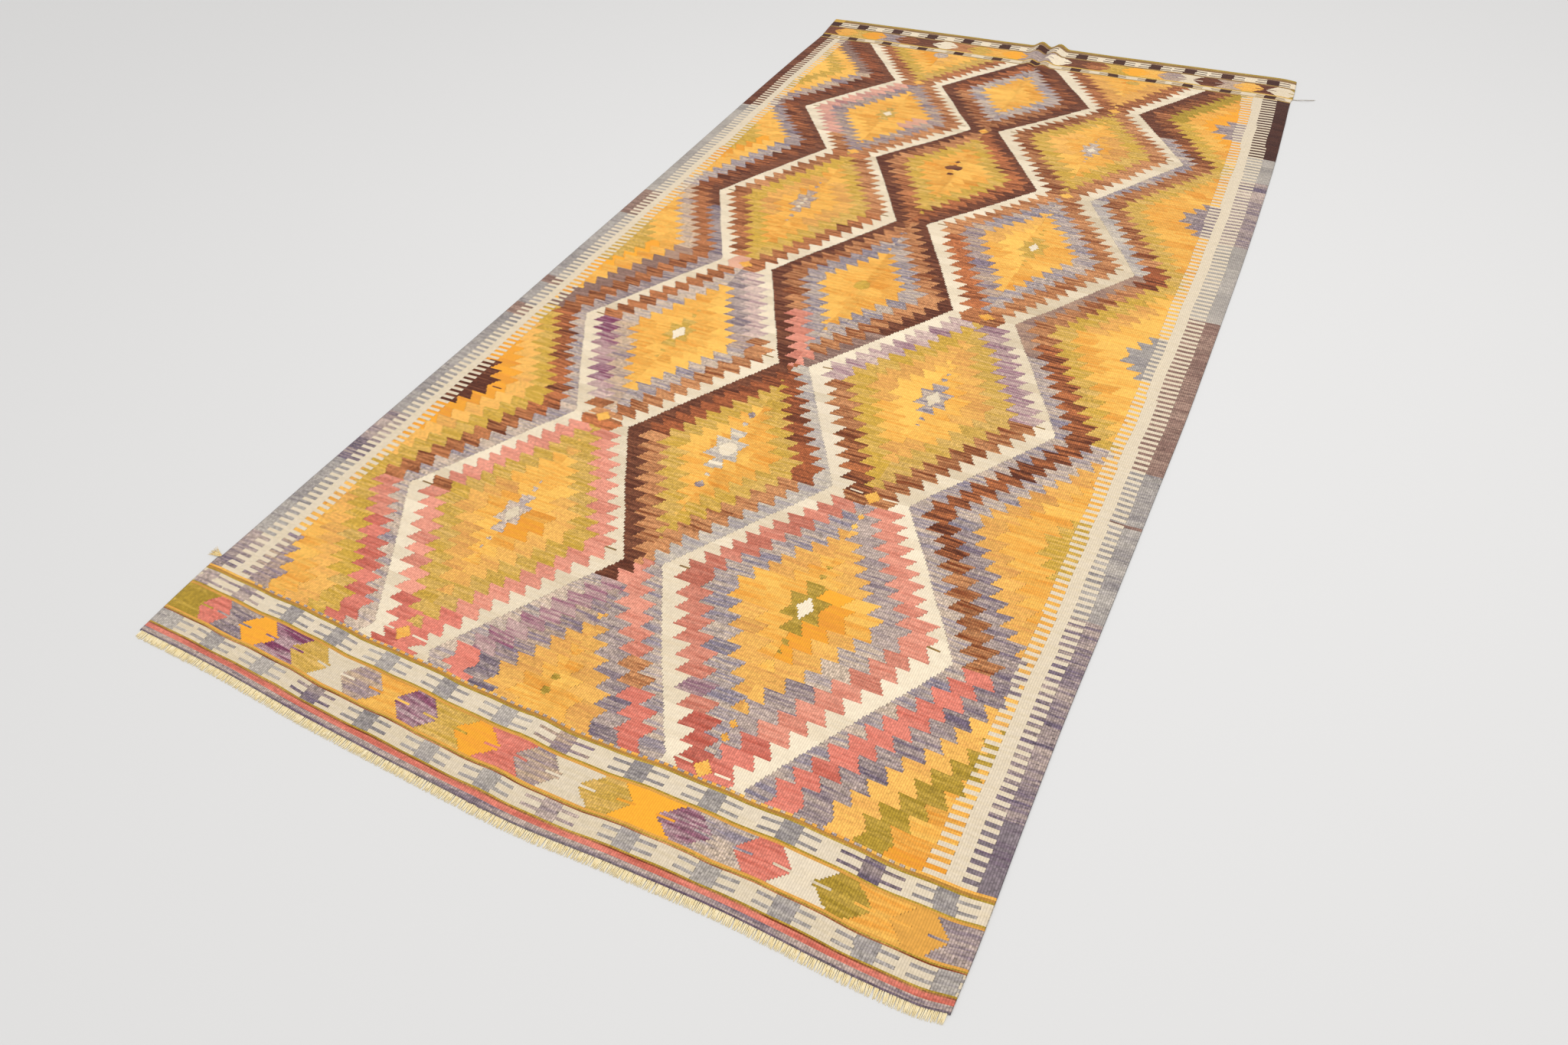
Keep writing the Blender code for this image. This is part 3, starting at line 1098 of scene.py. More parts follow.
LEFT_HALF_DIAMONDS = LozengeColumn(None, LINE_A, 12 * WARP_PITCH, lozenges("""
    grey_blue pink olive peach gold: 1 both 180 450 red;
    grey_blue rust olive peach orange: 1 both 870 1245 dark_rust;
    grey_purple rust grey_blue gold gold: 0 both 1848 1935 dark_brown, 2 both 1240 1545 mauve,
        2 both 1545 1605 fawn, 2 both 1605 1935 grey_lilac, 4 both 1400 1600 orange;
    dark_brown dark_rust grey_blue gold orange: 4 both 2280 2560 gold, 2 both 2270 2530 grey_purple;
    dark_brown chestnut mauve gold olive gold: 2 both 2540 2815 grey_lilac
"""))

RIGHT_HALF_DIAMONDS = LozengeColumn(LINE_D, None, 12 * WARP_PITCH, lozenges("""
    grey_blue red grey_purple peach dark_olive gold: 5 both 180 225 orange;
    grey_blue dark_rust grey_blue peach gold: 1 both 570 815 brown, 2 both 570 910 grey_purple;
    grey_blue rust olive gold gold: 0 both 1485 1925 fawn, 3 both 1650 1800 peach,
        1 both 1239 1560 dark_rust, 1 both 1560 1860 brown, 1 both 1860 1925 chestnut;
    grey_blue brown olive gold gold: 1 both 1920 1980 chestnut, 0 both 1920 2265 pale_grey;
    dark_brown rust olive gold orange: 0 both 2540 2690 grey_blue, 2 both 2820 3100 dark_olive
"""))

NECK_KNOTS = tuple(NeckKnot(x, y) for x, y in ((476, 217), (476, 906), (1142, 198), (1149, 909))) + tuple(
    NeckKnot(x, y, half=(23.0, 15.0), slit_length=0.0)
    for x, y in ((482, 1597), (493, 2289), (502, 2816), (1157, 1606), (1172, 2251), (1163, 2822))
)

STARS = (
    Star(474, 565, Dye.GREY_BLUE, (0.85, 1.0), (16, 26)), Star(473, 1257, Dye.OLIVE),
    Star(484, 1961, Dye.GREY_LILAC, (0.9, 1.1), (4, 4)),
    Star(493, 2564, Dye.OLIVE, (0.9, 0.75), (17, 17)),
    Star(1149, 581, Dye.DARK_OLIVE, (1.15, 1.1)), Star(1150, 1257, Dye.GREY_BLUE, (1.05, 0.95)),
    Star(1168, 1955, Dye.OLIVE, (1.0, 0.9), (13, 21)),
    Star(1165, 2543, Dye.GREY_BLUE, (0.85, 0.75), (15, 15)),
    Star(794, 921, Dye.PALE_GREY, (1.1, 1.15), (1, 1)),
)

LEFT_BORDER = SideBorder(
    Side.LEFT, (200, 700, 1150, 1900, 2400, 2700, 3070),
    (
        (30, 30, 30, 30, 31, 32, 33), (61, 61, 60, 60, 60, 60, 60), (82, 84, 85, 84, 86, 82, 82),
        (107, 111, 113, 115, 114, 106, 105),
    ),
    (300, 550, 730, 1165, 1220, 1320, 1355, 1710, 1850, 2470),
    yarns("grey_purple ash grey_purple ash mauve ash mauve ash mauve pale_ash dark_brown"),
    (
        HalfStar(215, 4, 62, Dye.GREY_LILAC), HalfStar(896, 3, 62, Dye.DARK_BROWN),
        HalfStar(1592, 4, 66, Dye.OLIVE), HalfStar(2262, 3, 62, Dye.OLIVE),
    ),
)
RIGHT_BORDER = SideBorder(
    Side.RIGHT, (200, 350, 550, 1150, 1600, 2200, 2900, 3070),
    (
        (31, 31, 31, 34, 37, 36, 37, 38), (58, 57, 57, 65, 76, 72, 80, 80),
        (82, 81, 81, 93, 101, 101, 108, 111), (117, 110, 106, 121, 124, 128, 138, 148),
    ),
    (320, 590, 765, 1026, 1036, 1195, 1785, 2150, 2510, 2660),
    yarns("slate grey_purple grey_purple ash mauve ash mauve pale_ash grey_purple pale_ash umber"),
    (
        HalfStar(919, 3, 55, Dye.OLIVE), HalfStar(1584, 3, 62, Dye.ASH),
        HalfStar(2254, 3, 66, Dye.GREY_PURPLE), HalfStar(2808, 2, 62, Dye.GREY_PURPLE),
    ),
)


@dataclass
class KilimDesign:
    """The whole pattern: five columns of lozenges, their hearts, two side borders and two end borders."""

    shape: ClothShape
    seed: int = 17

    def row_lines(self) -> Array:
        """Places along the rug of all row lines: the borders' rows, with even rows of the field between."""
        near, far = NEAR_BORDER.heights(), FAR_BORDER.heights()
        room = RUG_LENGTH - sum(near) - sum(far)
        count = round(room / WEAVE_STEP)
        return np.concatenate([[0], np.cumsum(near + [room / count] * count + far)])

    def chart(self) -> LoomChart:
        """Weaves the chart: field first, then what was woven into it, then the borders over its edges."""
        chart = LoomChart(self.shape, self.row_lines(), np.random.default_rng(self.seed))
        columns = (LEFT_HALF_DIAMONDS, MIDDLE_DIAMONDS, RIGHT_HALF_DIAMONDS, LEFT_DIAMONDS, RIGHT_DIAMONDS)
        for column in columns:
            column.weave(chart)
        for knot in NECK_KNOTS:
            knot.weave(chart)
        self.weave_hearts(chart)
        first, last = len(NEAR_BORDER.heights()), len(chart.dye) - len(FAR_BORDER.heights())
        LEFT_BORDER.weave(chart, first, last)
        RIGHT_BORDER.weave(chart, first, last)
        NEAR_BORDER.weave(chart, 0)
        FAR_BORDER.weave(chart, last)
        chart.weave((chart.y > 3213) & (chart.x < 45), Dye.OLIVE)
        return chart

    def weave_hearts(self, chart: LoomChart) -> None:
        """Weaves what sits in the lozenges' middles: the stars, and the small marks that no two share."""
        for star in STARS:
            star.weave(chart)
        for step in (-34, -14, 12):
            chart.weave_lozenge(484, 1961 + step, (9, 8), Dye.CREAM)
        chart.weave_disc(797, 921, (22, 23), Dye.CREAM)
        chart.weave_line(168, 192, 896, Dye.DARK_BROWN)
        for way in (-1, 1):
            chart.weave_disc(794, 921 + way * 51, (18, 5), Dye.CREAM)
            chart.weave_disc(794, 921 + way * 124, (10, 8), Dye.GREY_PURPLE)
        for x, y, half, dye in (
            (814, 1622, (20, 21), Dye.OLIVE),
            (804, 252, (9, 8), Dye.DARK_OLIVE), (804, 220, (9, 8), Dye.DARK_OLIVE),
            (800, 429, (9, 7), Dye.GREY_LILAC), (795, 470, (8, 6), Dye.GREY_LILAC),
            (820, 2294, (26, 15), Dye.DARK_BROWN), (822, 2254, (9, 7), Dye.DARK_BROWN),
            (818, 2330, (8, 5), Dye.DARK_BROWN), (1166, 3045, (22, 14), Dye.OLIVE),
            (494, 3050, (26, 22), Dye.GREY_BLUE),
        ):
            chart.weave_disc(x, y, half, dye)
        for y in (268, 297, 817, 846):
            chart.weave_lozenge(1148, y, (10, 9), Dye.GOLD)
        chart.weave_lozenge(825, 2548, (18, 18), Dye.GOLD)


# ---------------------------------------------------------------- from chart to mesh


@dataclass(frozen=True)
class MeshPart:
    """Triangles with the chart square that each one shows."""

    triangles: Array
    row: Array
    column: Array


def zip_up(strip: tuple, place: tuple, vertex: tuple) -> tuple[Array, Array, Array]:
    """Joins a lower and an upper line of points with triangles, like the two halves of a zip.

    Formula in words: all points of both lines are taken in order of their place. Each one from the third on
    makes a triangle with the last lower point and the last upper point before it.

    Args:
        strip: Number of the strip of each lower point, and of each upper point.
        place: Whole-numbered place along the strip of each, the same way.
        vertex: Number of the vertex of each, the same way.

    Returns:
        The triangles, facing up for places that rise to the right, with each one's strip and newest place.
    """
    upper = np.repeat([0, 1], [len(vertex[0]), len(vertex[1])])
    strips, places, vertices = (np.concatenate(values) for values in (strip, place, vertex))
    order = np.lexsort((upper, places, strips))
    upper, strips, places, vertices = (values[order] for values in (upper, strips, places, vertices))
    index = np.arange(len(order))
    last_lower = np.maximum.accumulate(np.where(upper == 0, index, 0))
    last_upper = np.maximum.accumulate(np.where(upper == 1, index, 0))
    first = np.maximum.accumulate(np.where(np.diff(strips, prepend=-1) != 0, index, 0))
    new = index[index - first >= 2]
    before = new - 1
    triangles = np.stack([vertices[last_lower[before]], vertices[new], vertices[last_upper[before]]], axis=1)
    return triangles, strips[new], places[new]


@dataclass
class WovenCloth:
    """The cloth as one closed mesh that follows the chart's colour edges.

    Attributes:
        shape: How it lies.
        chart: Its pattern.
        under_step: Rows of the chart in one row of the underside's mesh.
        rim_lines: Lines between ribs near the selvedges that are edges in every row.
        widest: Ribs across which a row may go without an edge.
    """

    shape: ClothShape
    chart: LoomChart
    under_step: int = 4
    rim_lines: tuple = (1, 6, -17, -13, -9, -6, -4, -2)
    widest: int = 9

    def runs(self, dye: Array, shade: Array) -> tuple[Array, Array, Array]:
        """Where the yarn changes in each row.

        Args:
            dye: Yarns of some rows.
            shade: Their shades.

        Returns:
            Which of the lines between ribs must be an edge, and the first and last line of each square's run.
        """
        change = np.zeros((len(dye), WARP_COUNT + 1), bool)
        change[:, [0, -1]] = True
        change[:, 1:-1] = dye[:, 1:] != dye[:, :-1]
        line = np.broadcast_to(np.arange(WARP_COUNT + 1), change.shape)
        start = np.maximum.accumulate(np.where(change, line, 0), axis=1)[:, :-1]
        end = np.where(change, line, WARP_COUNT)[:, ::-1]
        end = np.minimum.accumulate(end, axis=1)[:, ::-1][:, 1:]
        cut = change.copy()
        cut[:, 1:-1] |= shade[:, 1:] != shade[:, :-1]
        cut[:, self.rim_lines] = True
        cut[:, self.shape.fold_warps[0]:self.shape.fold_warps[1]:2] = True
        even = np.arange(self.widest, WARP_COUNT - self.widest // 2 - 1, self.widest)
        total = np.cumsum(cut, axis=1)
        cut[:, even] |= total[:, even + self.widest // 2] == total[:, even - self.widest // 2 - 1]
        return cut, start, end

    def face(self, step: int, upper: bool, first_vertex: int) -> tuple[Array, Array, MeshPart]:
        """One face of the cloth.

        Args:
            step: How many rows of the chart one row of the mesh takes.
            upper: Whether it is the upper face.
            first_vertex: Number of its first vertex.

        Returns:
            Its row lines' places, a table of vertex numbers by line and warp with -1 for none, and its mesh.
        """
        count = len(self.chart.dye)
        firsts = np.arange(0, count, step)
        shown = np.minimum(firsts + step // 2, count - 1)
        cut, _, _ = self.runs(self.chart.dye[shown], self.chart.shade[shown])
        has = np.zeros((len(firsts) + 1, WARP_COUNT + 1), bool)
        has[:-1] |= cut
        has[1:] |= cut
        number = np.where(has, np.cumsum(has).reshape(has.shape) - 1 + first_vertex, -1)
        low_strip, low_place = np.nonzero(has[:-1])
        high_strip, high_place = np.nonzero(has[1:])
        triangles, strip, place = zip_up(
            (low_strip, high_strip), (low_place, high_place), (number[:-1][has[:-1]], number[1:][has[1:]])
        )
        if not upper:
            triangles = triangles[:, ::-1]
        lines = np.append(self.chart.lines[firsts], self.chart.lines[-1])
        return lines, number, MeshPart(triangles, shown[strip], place - 1)

    def rims(self, top: Array, under: Array, step: int) -> list[MeshPart]:
        """The four narrow sides between the upper face and the underside.

        Args:
            top: Vertex numbers of the upper face.
            under: Vertex numbers of the underside.
            step: How many rows of the chart one row of the underside takes.

        Returns:
            One part for each side.
        """
        parts = []
        last_row = len(self.chart.dye) - 1
        for end, row in ((0, 0), (-1, last_row)):
            low, high = np.nonzero(under[end] >= 0)[0], np.nonzero(top[end] >= 0)[0]
            vertex = (under[end][low], top[end][high])
            triangles, _, place = zip_up((low * 0, high * 0), (low, high), vertex)
            triangles = triangles[:, ::-1] if end else triangles
            parts.append(MeshPart(triangles, np.full(len(place), row), place - 1))
        low = np.minimum(np.arange(len(under)) * step, last_row + 1)
        high = np.arange(len(top))
        for side, column in ((0, 0), (-1, WARP_COUNT - 1)):
            vertex = (under[:, side], top[:, side])
            triangles, _, place = zip_up((low * 0, high * 0), (low, high), vertex)
            triangles = triangles if side else triangles[:, ::-1]
            parts.append(MeshPart(triangles, place - 1, np.full(len(place), column)))
        return parts

    def build(self, material: Material) -> Object:
        """Weaves the mesh and gives each face its yarn.

        Args:
            material: The wool.

        Returns:
            The finished piece.
        """
        top_lines, top, top_part = self.face(1, True, 0)
        count = int((top >= 0).sum())
        under_lines, under, under_part = self.face(self.under_step, False, count)
        warps, alongs, points = [], [], []
        for lines, number, upper in ((top_lines, top, True), (under_lines, under, False)):
            line, warp = np.nonzero(number >= 0)
            warps.append(warp.astype(float))
            alongs.append(lines[line])
            points.append(self.shape.points(warps[-1], alongs[-1], upper))
        parts = [top_part, under_part, *self.rims(top, under, self.under_step)]
        triangles = np.concatenate([part.triangles for part in parts])
        rows = np.concatenate([part.row for part in parts])
        columns = np.concatenate([part.column for part in parts])
        piece = solid_mesh("woven_kilim_cloth", np.concatenate(points), triangles)
        mesh = piece.data
        mesh.materials.append(material)
        warp, along = np.concatenate(warps), np.concatenate(alongs)
        weave = np.stack([warp, along, self.shape.fold_closeness(warp, along)], axis=1)
        give(mesh, "weave", "FLOAT_VECTOR", "POINT", weave)
        self.give_yarns(mesh, rows, columns)
        share = np.stack([warp / WARP_COUNT, along / RUG_LENGTH], axis=1)
        self.give_bake_map(mesh, share[triangles.reshape(-1)], 3 * len(top_part.row))
        hand_over(piece, "kilim_body")
        return piece

    def give_yarns(self, mesh: Mesh, rows: Array, columns: Array) -> None:
        """Stores each face's yarn, its streaks, its shade and where its run of one colour starts and ends.

        Args:
            mesh: The cloth's mesh.
            rows: The chart row that each face shows.
            columns: The warp rib that it shows.
        """
        _, start, end = self.runs(self.chart.dye, self.chart.shade)
        dye = self.chart.dye[rows, columns]
        colours = np.array([(*linear(yarn.colour), yarn.flecks) for yarn in YARNS.values()])
        streaks = np.array([(*linear(yarn.streak), yarn.streaks) for yarn in YARNS.values()])
        run = np.stack([start[rows, columns], end[rows, columns], self.chart.shade[rows, columns]], axis=1)
        give(mesh, "yarn", "FLOAT_COLOR", "FACE", colours[dye])
        give(mesh, "streak", "FLOAT_COLOR", "FACE", streaks[dye])
        give(mesh, "run", "FLOAT_VECTOR", "FACE", run.astype(float))

    def give_bake_map(self, mesh: Mesh, share: Array, upper: int) -> None:
        """Lays the mesh out flat on a bake map: the upper face on four fifths of the map, the rest beside.

        Args:
            mesh: The cloth's mesh.
            share: Shares of the rug's width and length at each corner of each triangle.
            upper: How many of the corners are the upper face's. They come first.
        """
        margin, upper_width, lower_start, lower_width = 0.002, 0.79, 0.805, 0.19
        is_upper = np.arange(len(share)) < upper
        u = np.where(is_upper, margin + upper_width * share[:, 0], lower_start + lower_width * share[:, 0])
        v = margin + (1 - 2 * margin) * share[:, 1]
        layer = mesh.uv_layers.new(name="OFBake")
        layer.uv.foreach_set("vector", np.stack([u, v], axis=1).ravel())


def give(mesh: Mesh, name: str, kind: str, domain: str, values: Array) -> None:
    """Stores an attribute for shaders on a mesh.

    Args:
        mesh: The mesh.
        name: The attribute's name.
        kind: FLOAT_VECTOR or FLOAT_COLOR.
        domain: POINT or FACE.
        values: One row for each point or face.
    """
    attribute = mesh.attributes.new(name, kind, domain)
    part = "color" if kind == "FLOAT_COLOR" else "vector"
    attribute.data.foreach_set(part, values.astype(np.float32).ravel())


def solid_mesh(name: str, points: Array, triangles: Array) -> Object:
    """Makes a smooth-shaded object of triangles, at the origin.

    Args:
        name: Its name.
        points: Vertices in metres.
        triangles: Three vertex numbers in each row.

    Returns:
        The object, in the scene.
    """
    mesh = bpy.data.meshes.new(name)
    mesh.vertices.add(len(points))
    mesh.vertices.foreach_set("co", points.astype(np.float32).ravel())
    mesh.loops.add(triangles.size)
    mesh.loops.foreach_set("vertex_index", triangles.astype(np.int32).ravel())
    mesh.polygons.add(len(triangles))
    mesh.polygons.foreach_set("loop_start", np.arange(0, triangles.size, 3, dtype=np.int32))
    mesh.update(calc_edges=True)
    mesh.shade_smooth()
    piece = bpy.data.objects.new(name, mesh)
    bpy.context.scene.collection.objects.link(piece)
    return piece


def hand_over(piece: Object, node: str) -> None:
    """Hands a finished piece to the frame and logs it.

    Args:
        piece: The piece, which is part of the one rigid body.
        node: The CAD node that it replaces.
    """
    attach(piece, "root")
    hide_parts(node)
    LOG.info("%s: %d triangles", piece.name, len(piece.data.polygons))


# ---------------------------------------------------------------- strands


@dataclass(frozen=True)
class Strands:
    """Many thin tapered tubes of the same make.

    Attributes:
        paths: Points in metres by strand and station.
        radii: Half thickness in metres by strand and station.
        sides: Corners round each tube.
    """

    paths: Array
    radii: Array
    sides: int = 6

    def mesh_data(self) -> tuple[Array, Array]:
        """Points and triangles of all strands.

        Formula in words: each station of a path carries a ring of corners, square to the path. Rings are
        joined corner to corner, and each end is closed with a fan.

        Returns:
            Points in metres, and three vertex numbers for each triangle.
        """
        strands, stations, _ = self.paths.shape
        ahead = np.gradient(self.paths, axis=1)
        ahead /= np.linalg.norm(ahead, axis=2, keepdims=True)
        up = np.broadcast_to([0.0, 0.0, 1.0], ahead.shape)
        across = np.cross(ahead, up)
        across /= np.linalg.norm(across, axis=2, keepdims=True)
        up = np.cross(across, ahead)
        turn = 2 * np.pi * np.arange(self.sides) / self.sides
        ring = across[:, :, None] * np.cos(turn)[:, None] + up[:, :, None] * np.sin(turn)[:, None]
        points = self.paths[:, :, None] + ring * self.radii[:, :, None, None]
        number = np.arange(strands * stations * self.sides).reshape(strands, stations, self.sides)
        low, high = number[:, :-1], number[:, 1:]
        next_low, next_high = np.roll(low, -1, axis=2), np.roll(high, -1, axis=2)
        walls = [np.stack([low, next_high, next_low], axis=-1), np.stack([low, high, next_high], axis=-1)]
        fans = []
        for end, flip in ((0, False), (-1, True)):
            ring_numbers = number[:, end]
            hub = np.repeat(ring_numbers[:, :1], self.sides - 2, axis=1)
            fan = np.stack([hub, ring_numbers[:, 1:-1], ring_numbers[:, 2:]], axis=-1)
            fans.append(fan[..., ::-1] if flip else fan)
        triangles = np.concatenate([part.reshape(-1, 3) for part in walls + fans])
        return points.reshape(-1, 3), triangles


def strand_piece(name: str, strands: Strands, material: Material, node: str) -> Object:
    """Makes one piece of strands and hands it to the frame.

    Args:
        name: The piece's name.
        strands: Its strands.
        material: Their yarn.
        node: The CAD node that it replaces.

    Returns:
        The finished piece.
    """
    piece = solid_mesh(name, *strands.mesh_data())
    piece.data.materials.append(material)
    hand_over(piece, node)
    return piece


@dataclass
class WarpFringe:
    """The cut warp ends past the near edge: short tapered strands, two to each rib, in mm.

    Attributes:
        shape: How the cloth lies.
        length: How far they reach past the edge.
        spread: How far chance makes one longer or shorter.
        radius: Half thickness, before the taper.
        edge_ribs: Ribs at each selvedge that end without strands of their own.
        inset: Ribs from a selvedge to the strand next to it.
        lean: How far they lean to one side by chance, as a share of their length.
        sway: How far they lean in slow waves along the edge, the same way.
        bend: How far they bend to one side by chance.
        tuck: How deep they start inside the cloth's edge.
        stations: Points along each.
        seed: Of the chance.
    """

    shape: ClothShape
    length: float = 15.5
    spread: float = 0.7
    radius: float = 1.1
    edge_ribs: int = 2
    inset: float = 1.2
    lean: float = 0.05
    sway: float = 0.04
    bend: float = 0.4
    tuck: float = 0.8
    stations: int = 5
    seed: int = 3

    def build(self, material: Material) -> Object:
        """Spins the strands.

        Formula in words: each strand leaves the cloth's edge at half its thickness, leans a chance angle to
        one side, sinks to the floor and thins towards its tip.

        Args:
            material: The cut yarn.

        Returns:
            The finished piece.
        """
        random = np.random.default_rng(self.seed)
        count = 2 * (WARP_COUNT - 2 * self.edge_ribs)
        warp = np.linspace(self.inset, WARP_COUNT - self.inset, count) + random.normal(0, 0.12, count)
        x, y = self.shape.lay(warp, np.zeros(count))
        share = np.linspace(0, 1, self.stations)[None, :]
        reach = self.length + self.spread * random.normal(0, 1, count).clip(-1.6, 1.6)
        lean = random.normal(0, self.lean, count) + self.sway * np.sin(x / 47)
        bend = random.normal(0, self.bend, count)
        across = x[:, None] + (lean * reach)[:, None] * share + bend[:, None] * share**2
        back = y[:, None] + self.tuck - (reach[:, None] + self.tuck) * share
        lift = random.uniform(0.0, 0.5, count)[:, None]
        radii = self.radius * (1.15 - 0.25 * share - 0.55 * share**4)
        radii = radii * random.uniform(0.85, 1.15, count)[:, None]
        sink = 1 - ease(share * 1.6)
        height = radii + lift + np.maximum(CLOTH_THICKNESS / 2 - radii, 0) * sink * 0.6
        strands = Strands(self.shape.in_frame(across, back, height), radii * MM, 5)
        return strand_piece("cut_warp_ends", strands, material, "near_fringe")


@dataclass
class WeftTuft:
    """The brush of cut weft ends that stands out of the left selvedge near the near border, in mm.

    Attributes:
        shape: How the cloth lies.
        along: Place along the rug.
        length: Of the longest strand.
        count: How many strands it has.
        radius: Half thickness of a strand at the selvedge.
        root_half: Half the length of selvedge from which they come.
        splay: How far the outer strands splay, as a share of their length.
        bend: How far they bend to the far side.
        lift: How high they leave the selvedge above the floor.
        tuck: How deep they start inside the selvedge.
        seed: Of the chance.
    """

    shape: ClothShape
    along: float = 213.5
    length: float = 34.0
    count: int = 30
    radius: float = 0.42
    root_half: float = 1.3
    splay: float = 0.26
    bend: float = 3.5
    lift: float = 0.9
    tuck: float = 0.3
    seed: int = 5

    def build(self, material: Material) -> Object:
        """Spins the strands.

        Formula in words: they leave the selvedge together and splay. Each rises in an arc by a chance height,
        bends a little to the far side and thins towards its tip.

        Args:
            material: The yarn.

        Returns:
            The finished piece.
        """
        random = np.random.default_rng(self.seed)
        share = np.linspace(0, 1, 7)[None, :]
        reach = self.length * random.uniform(0.72, 1.0, self.count)[:, None]
        fan = np.linspace(-1, 1, self.count)[:, None]
        splay = fan * self.splay + random.normal(0, 0.05, self.count)[:, None]
        start_y = np.linspace(-self.root_half, self.root_half, self.count)[:, None]
        rise = random.uniform(0.4, 2.4, self.count)[:, None]
        edge, root = self.shape.lay(np.array(0.0), np.array(self.along))
        x = edge + self.tuck - reach * share
        y = root + start_y + reach * share * splay + self.bend * share**2
        radii = self.radius * (1 - 0.45 * share**3) * np.ones_like(reach)
        height = radii + self.lift * (1 - share) + rise * np.sin(np.pi * share) * 0.9
        strands = Strands(self.shape.in_frame(x, y, height), radii * MM, 5)
        return strand_piece("cut_weft_tuft", strands, material, "near_left_tuft")


@dataclass
class LooseYarn:
    """The loose yarn end at the far right: two plies twisted round one another, in mm.

    Attributes:
        shape: How the cloth lies.
        along: Place along the rug where it leaves the selvedge.
        out: Stations along it, by their distance from the selvedge.
        run: How far it has run towards the far end at each station.
        lift: How high it has risen at each.
        ply: Half thickness of one ply.
        twist: Distance of a ply's middle from the yarn's, as a share of ply.
        rest: Height of the yarn's middle where it lies on the floor.
        tuck: How deep it starts inside the selvedge.
        turns: How often the plies turn round one another.
        stations: Points along each ply.
    """

    shape: ClothShape
    along: float = 3100.0
    out: tuple = (0, 8, 18, 30, 43, 56, 66)
    run: tuple = (0, 0, -1, 1, 6, 13, 20)
    lift: tuple = (0, 0, 1.6, 2.8, 2.2, 1.0, 0)
    ply: float = 0.62
    twist: float = 0.85
    rest: float = 1.15
    tuck: float = 0.3
    turns: float = 9.0
    stations: int = 140

    def build(self, material: Material) -> Object:
        """Spins the two plies.

        Formula in words: each ply follows the yarn's line, a little beside it, and turns round it nine times
        on the way. Both thin out over the last eighth.

        Args:
            material: The yarn.

        Returns:
            The finished piece.
        """
        place = np.linspace(self.out[0], self.out[-1], self.stations)
        y = smooth_through(place, self.out, self.run)
        z = smooth_through(place, self.out, self.lift)
        edge, root = self.shape.lay(np.array(float(WARP_COUNT)), np.array(self.along))
        share = np.linspace(0, 1, self.stations)
        slope = np.gradient(y, place)
        across = np.stack([-slope, np.ones_like(slope)], axis=1) / np.sqrt(1 + slope**2)[:, None]
        thin = 1 - 0.6 * ease((share - 0.88) / 0.12)
        paths = []
        for start in (0.0, np.pi):
            turn = start + 2 * np.pi * self.turns * share
            aside = self.ply * self.twist * thin * np.cos(turn)
            above = self.ply * self.twist * thin * np.sin(turn)
            ply_x = edge - self.tuck + place + across[:, 0] * aside
            ply_y = root + y + across[:, 1] * aside
            paths.append(self.shape.in_frame(ply_x, ply_y, self.rest + z + above))
        radii = np.broadcast_to(self.ply * thin, (2, self.stations))
        strands = Strands(np.stack(paths), radii * MM, 7)
        return strand_piece("loose_yarn_end", strands, material, "far_right_yarn")


# ---------------------------------------------------------------- materials


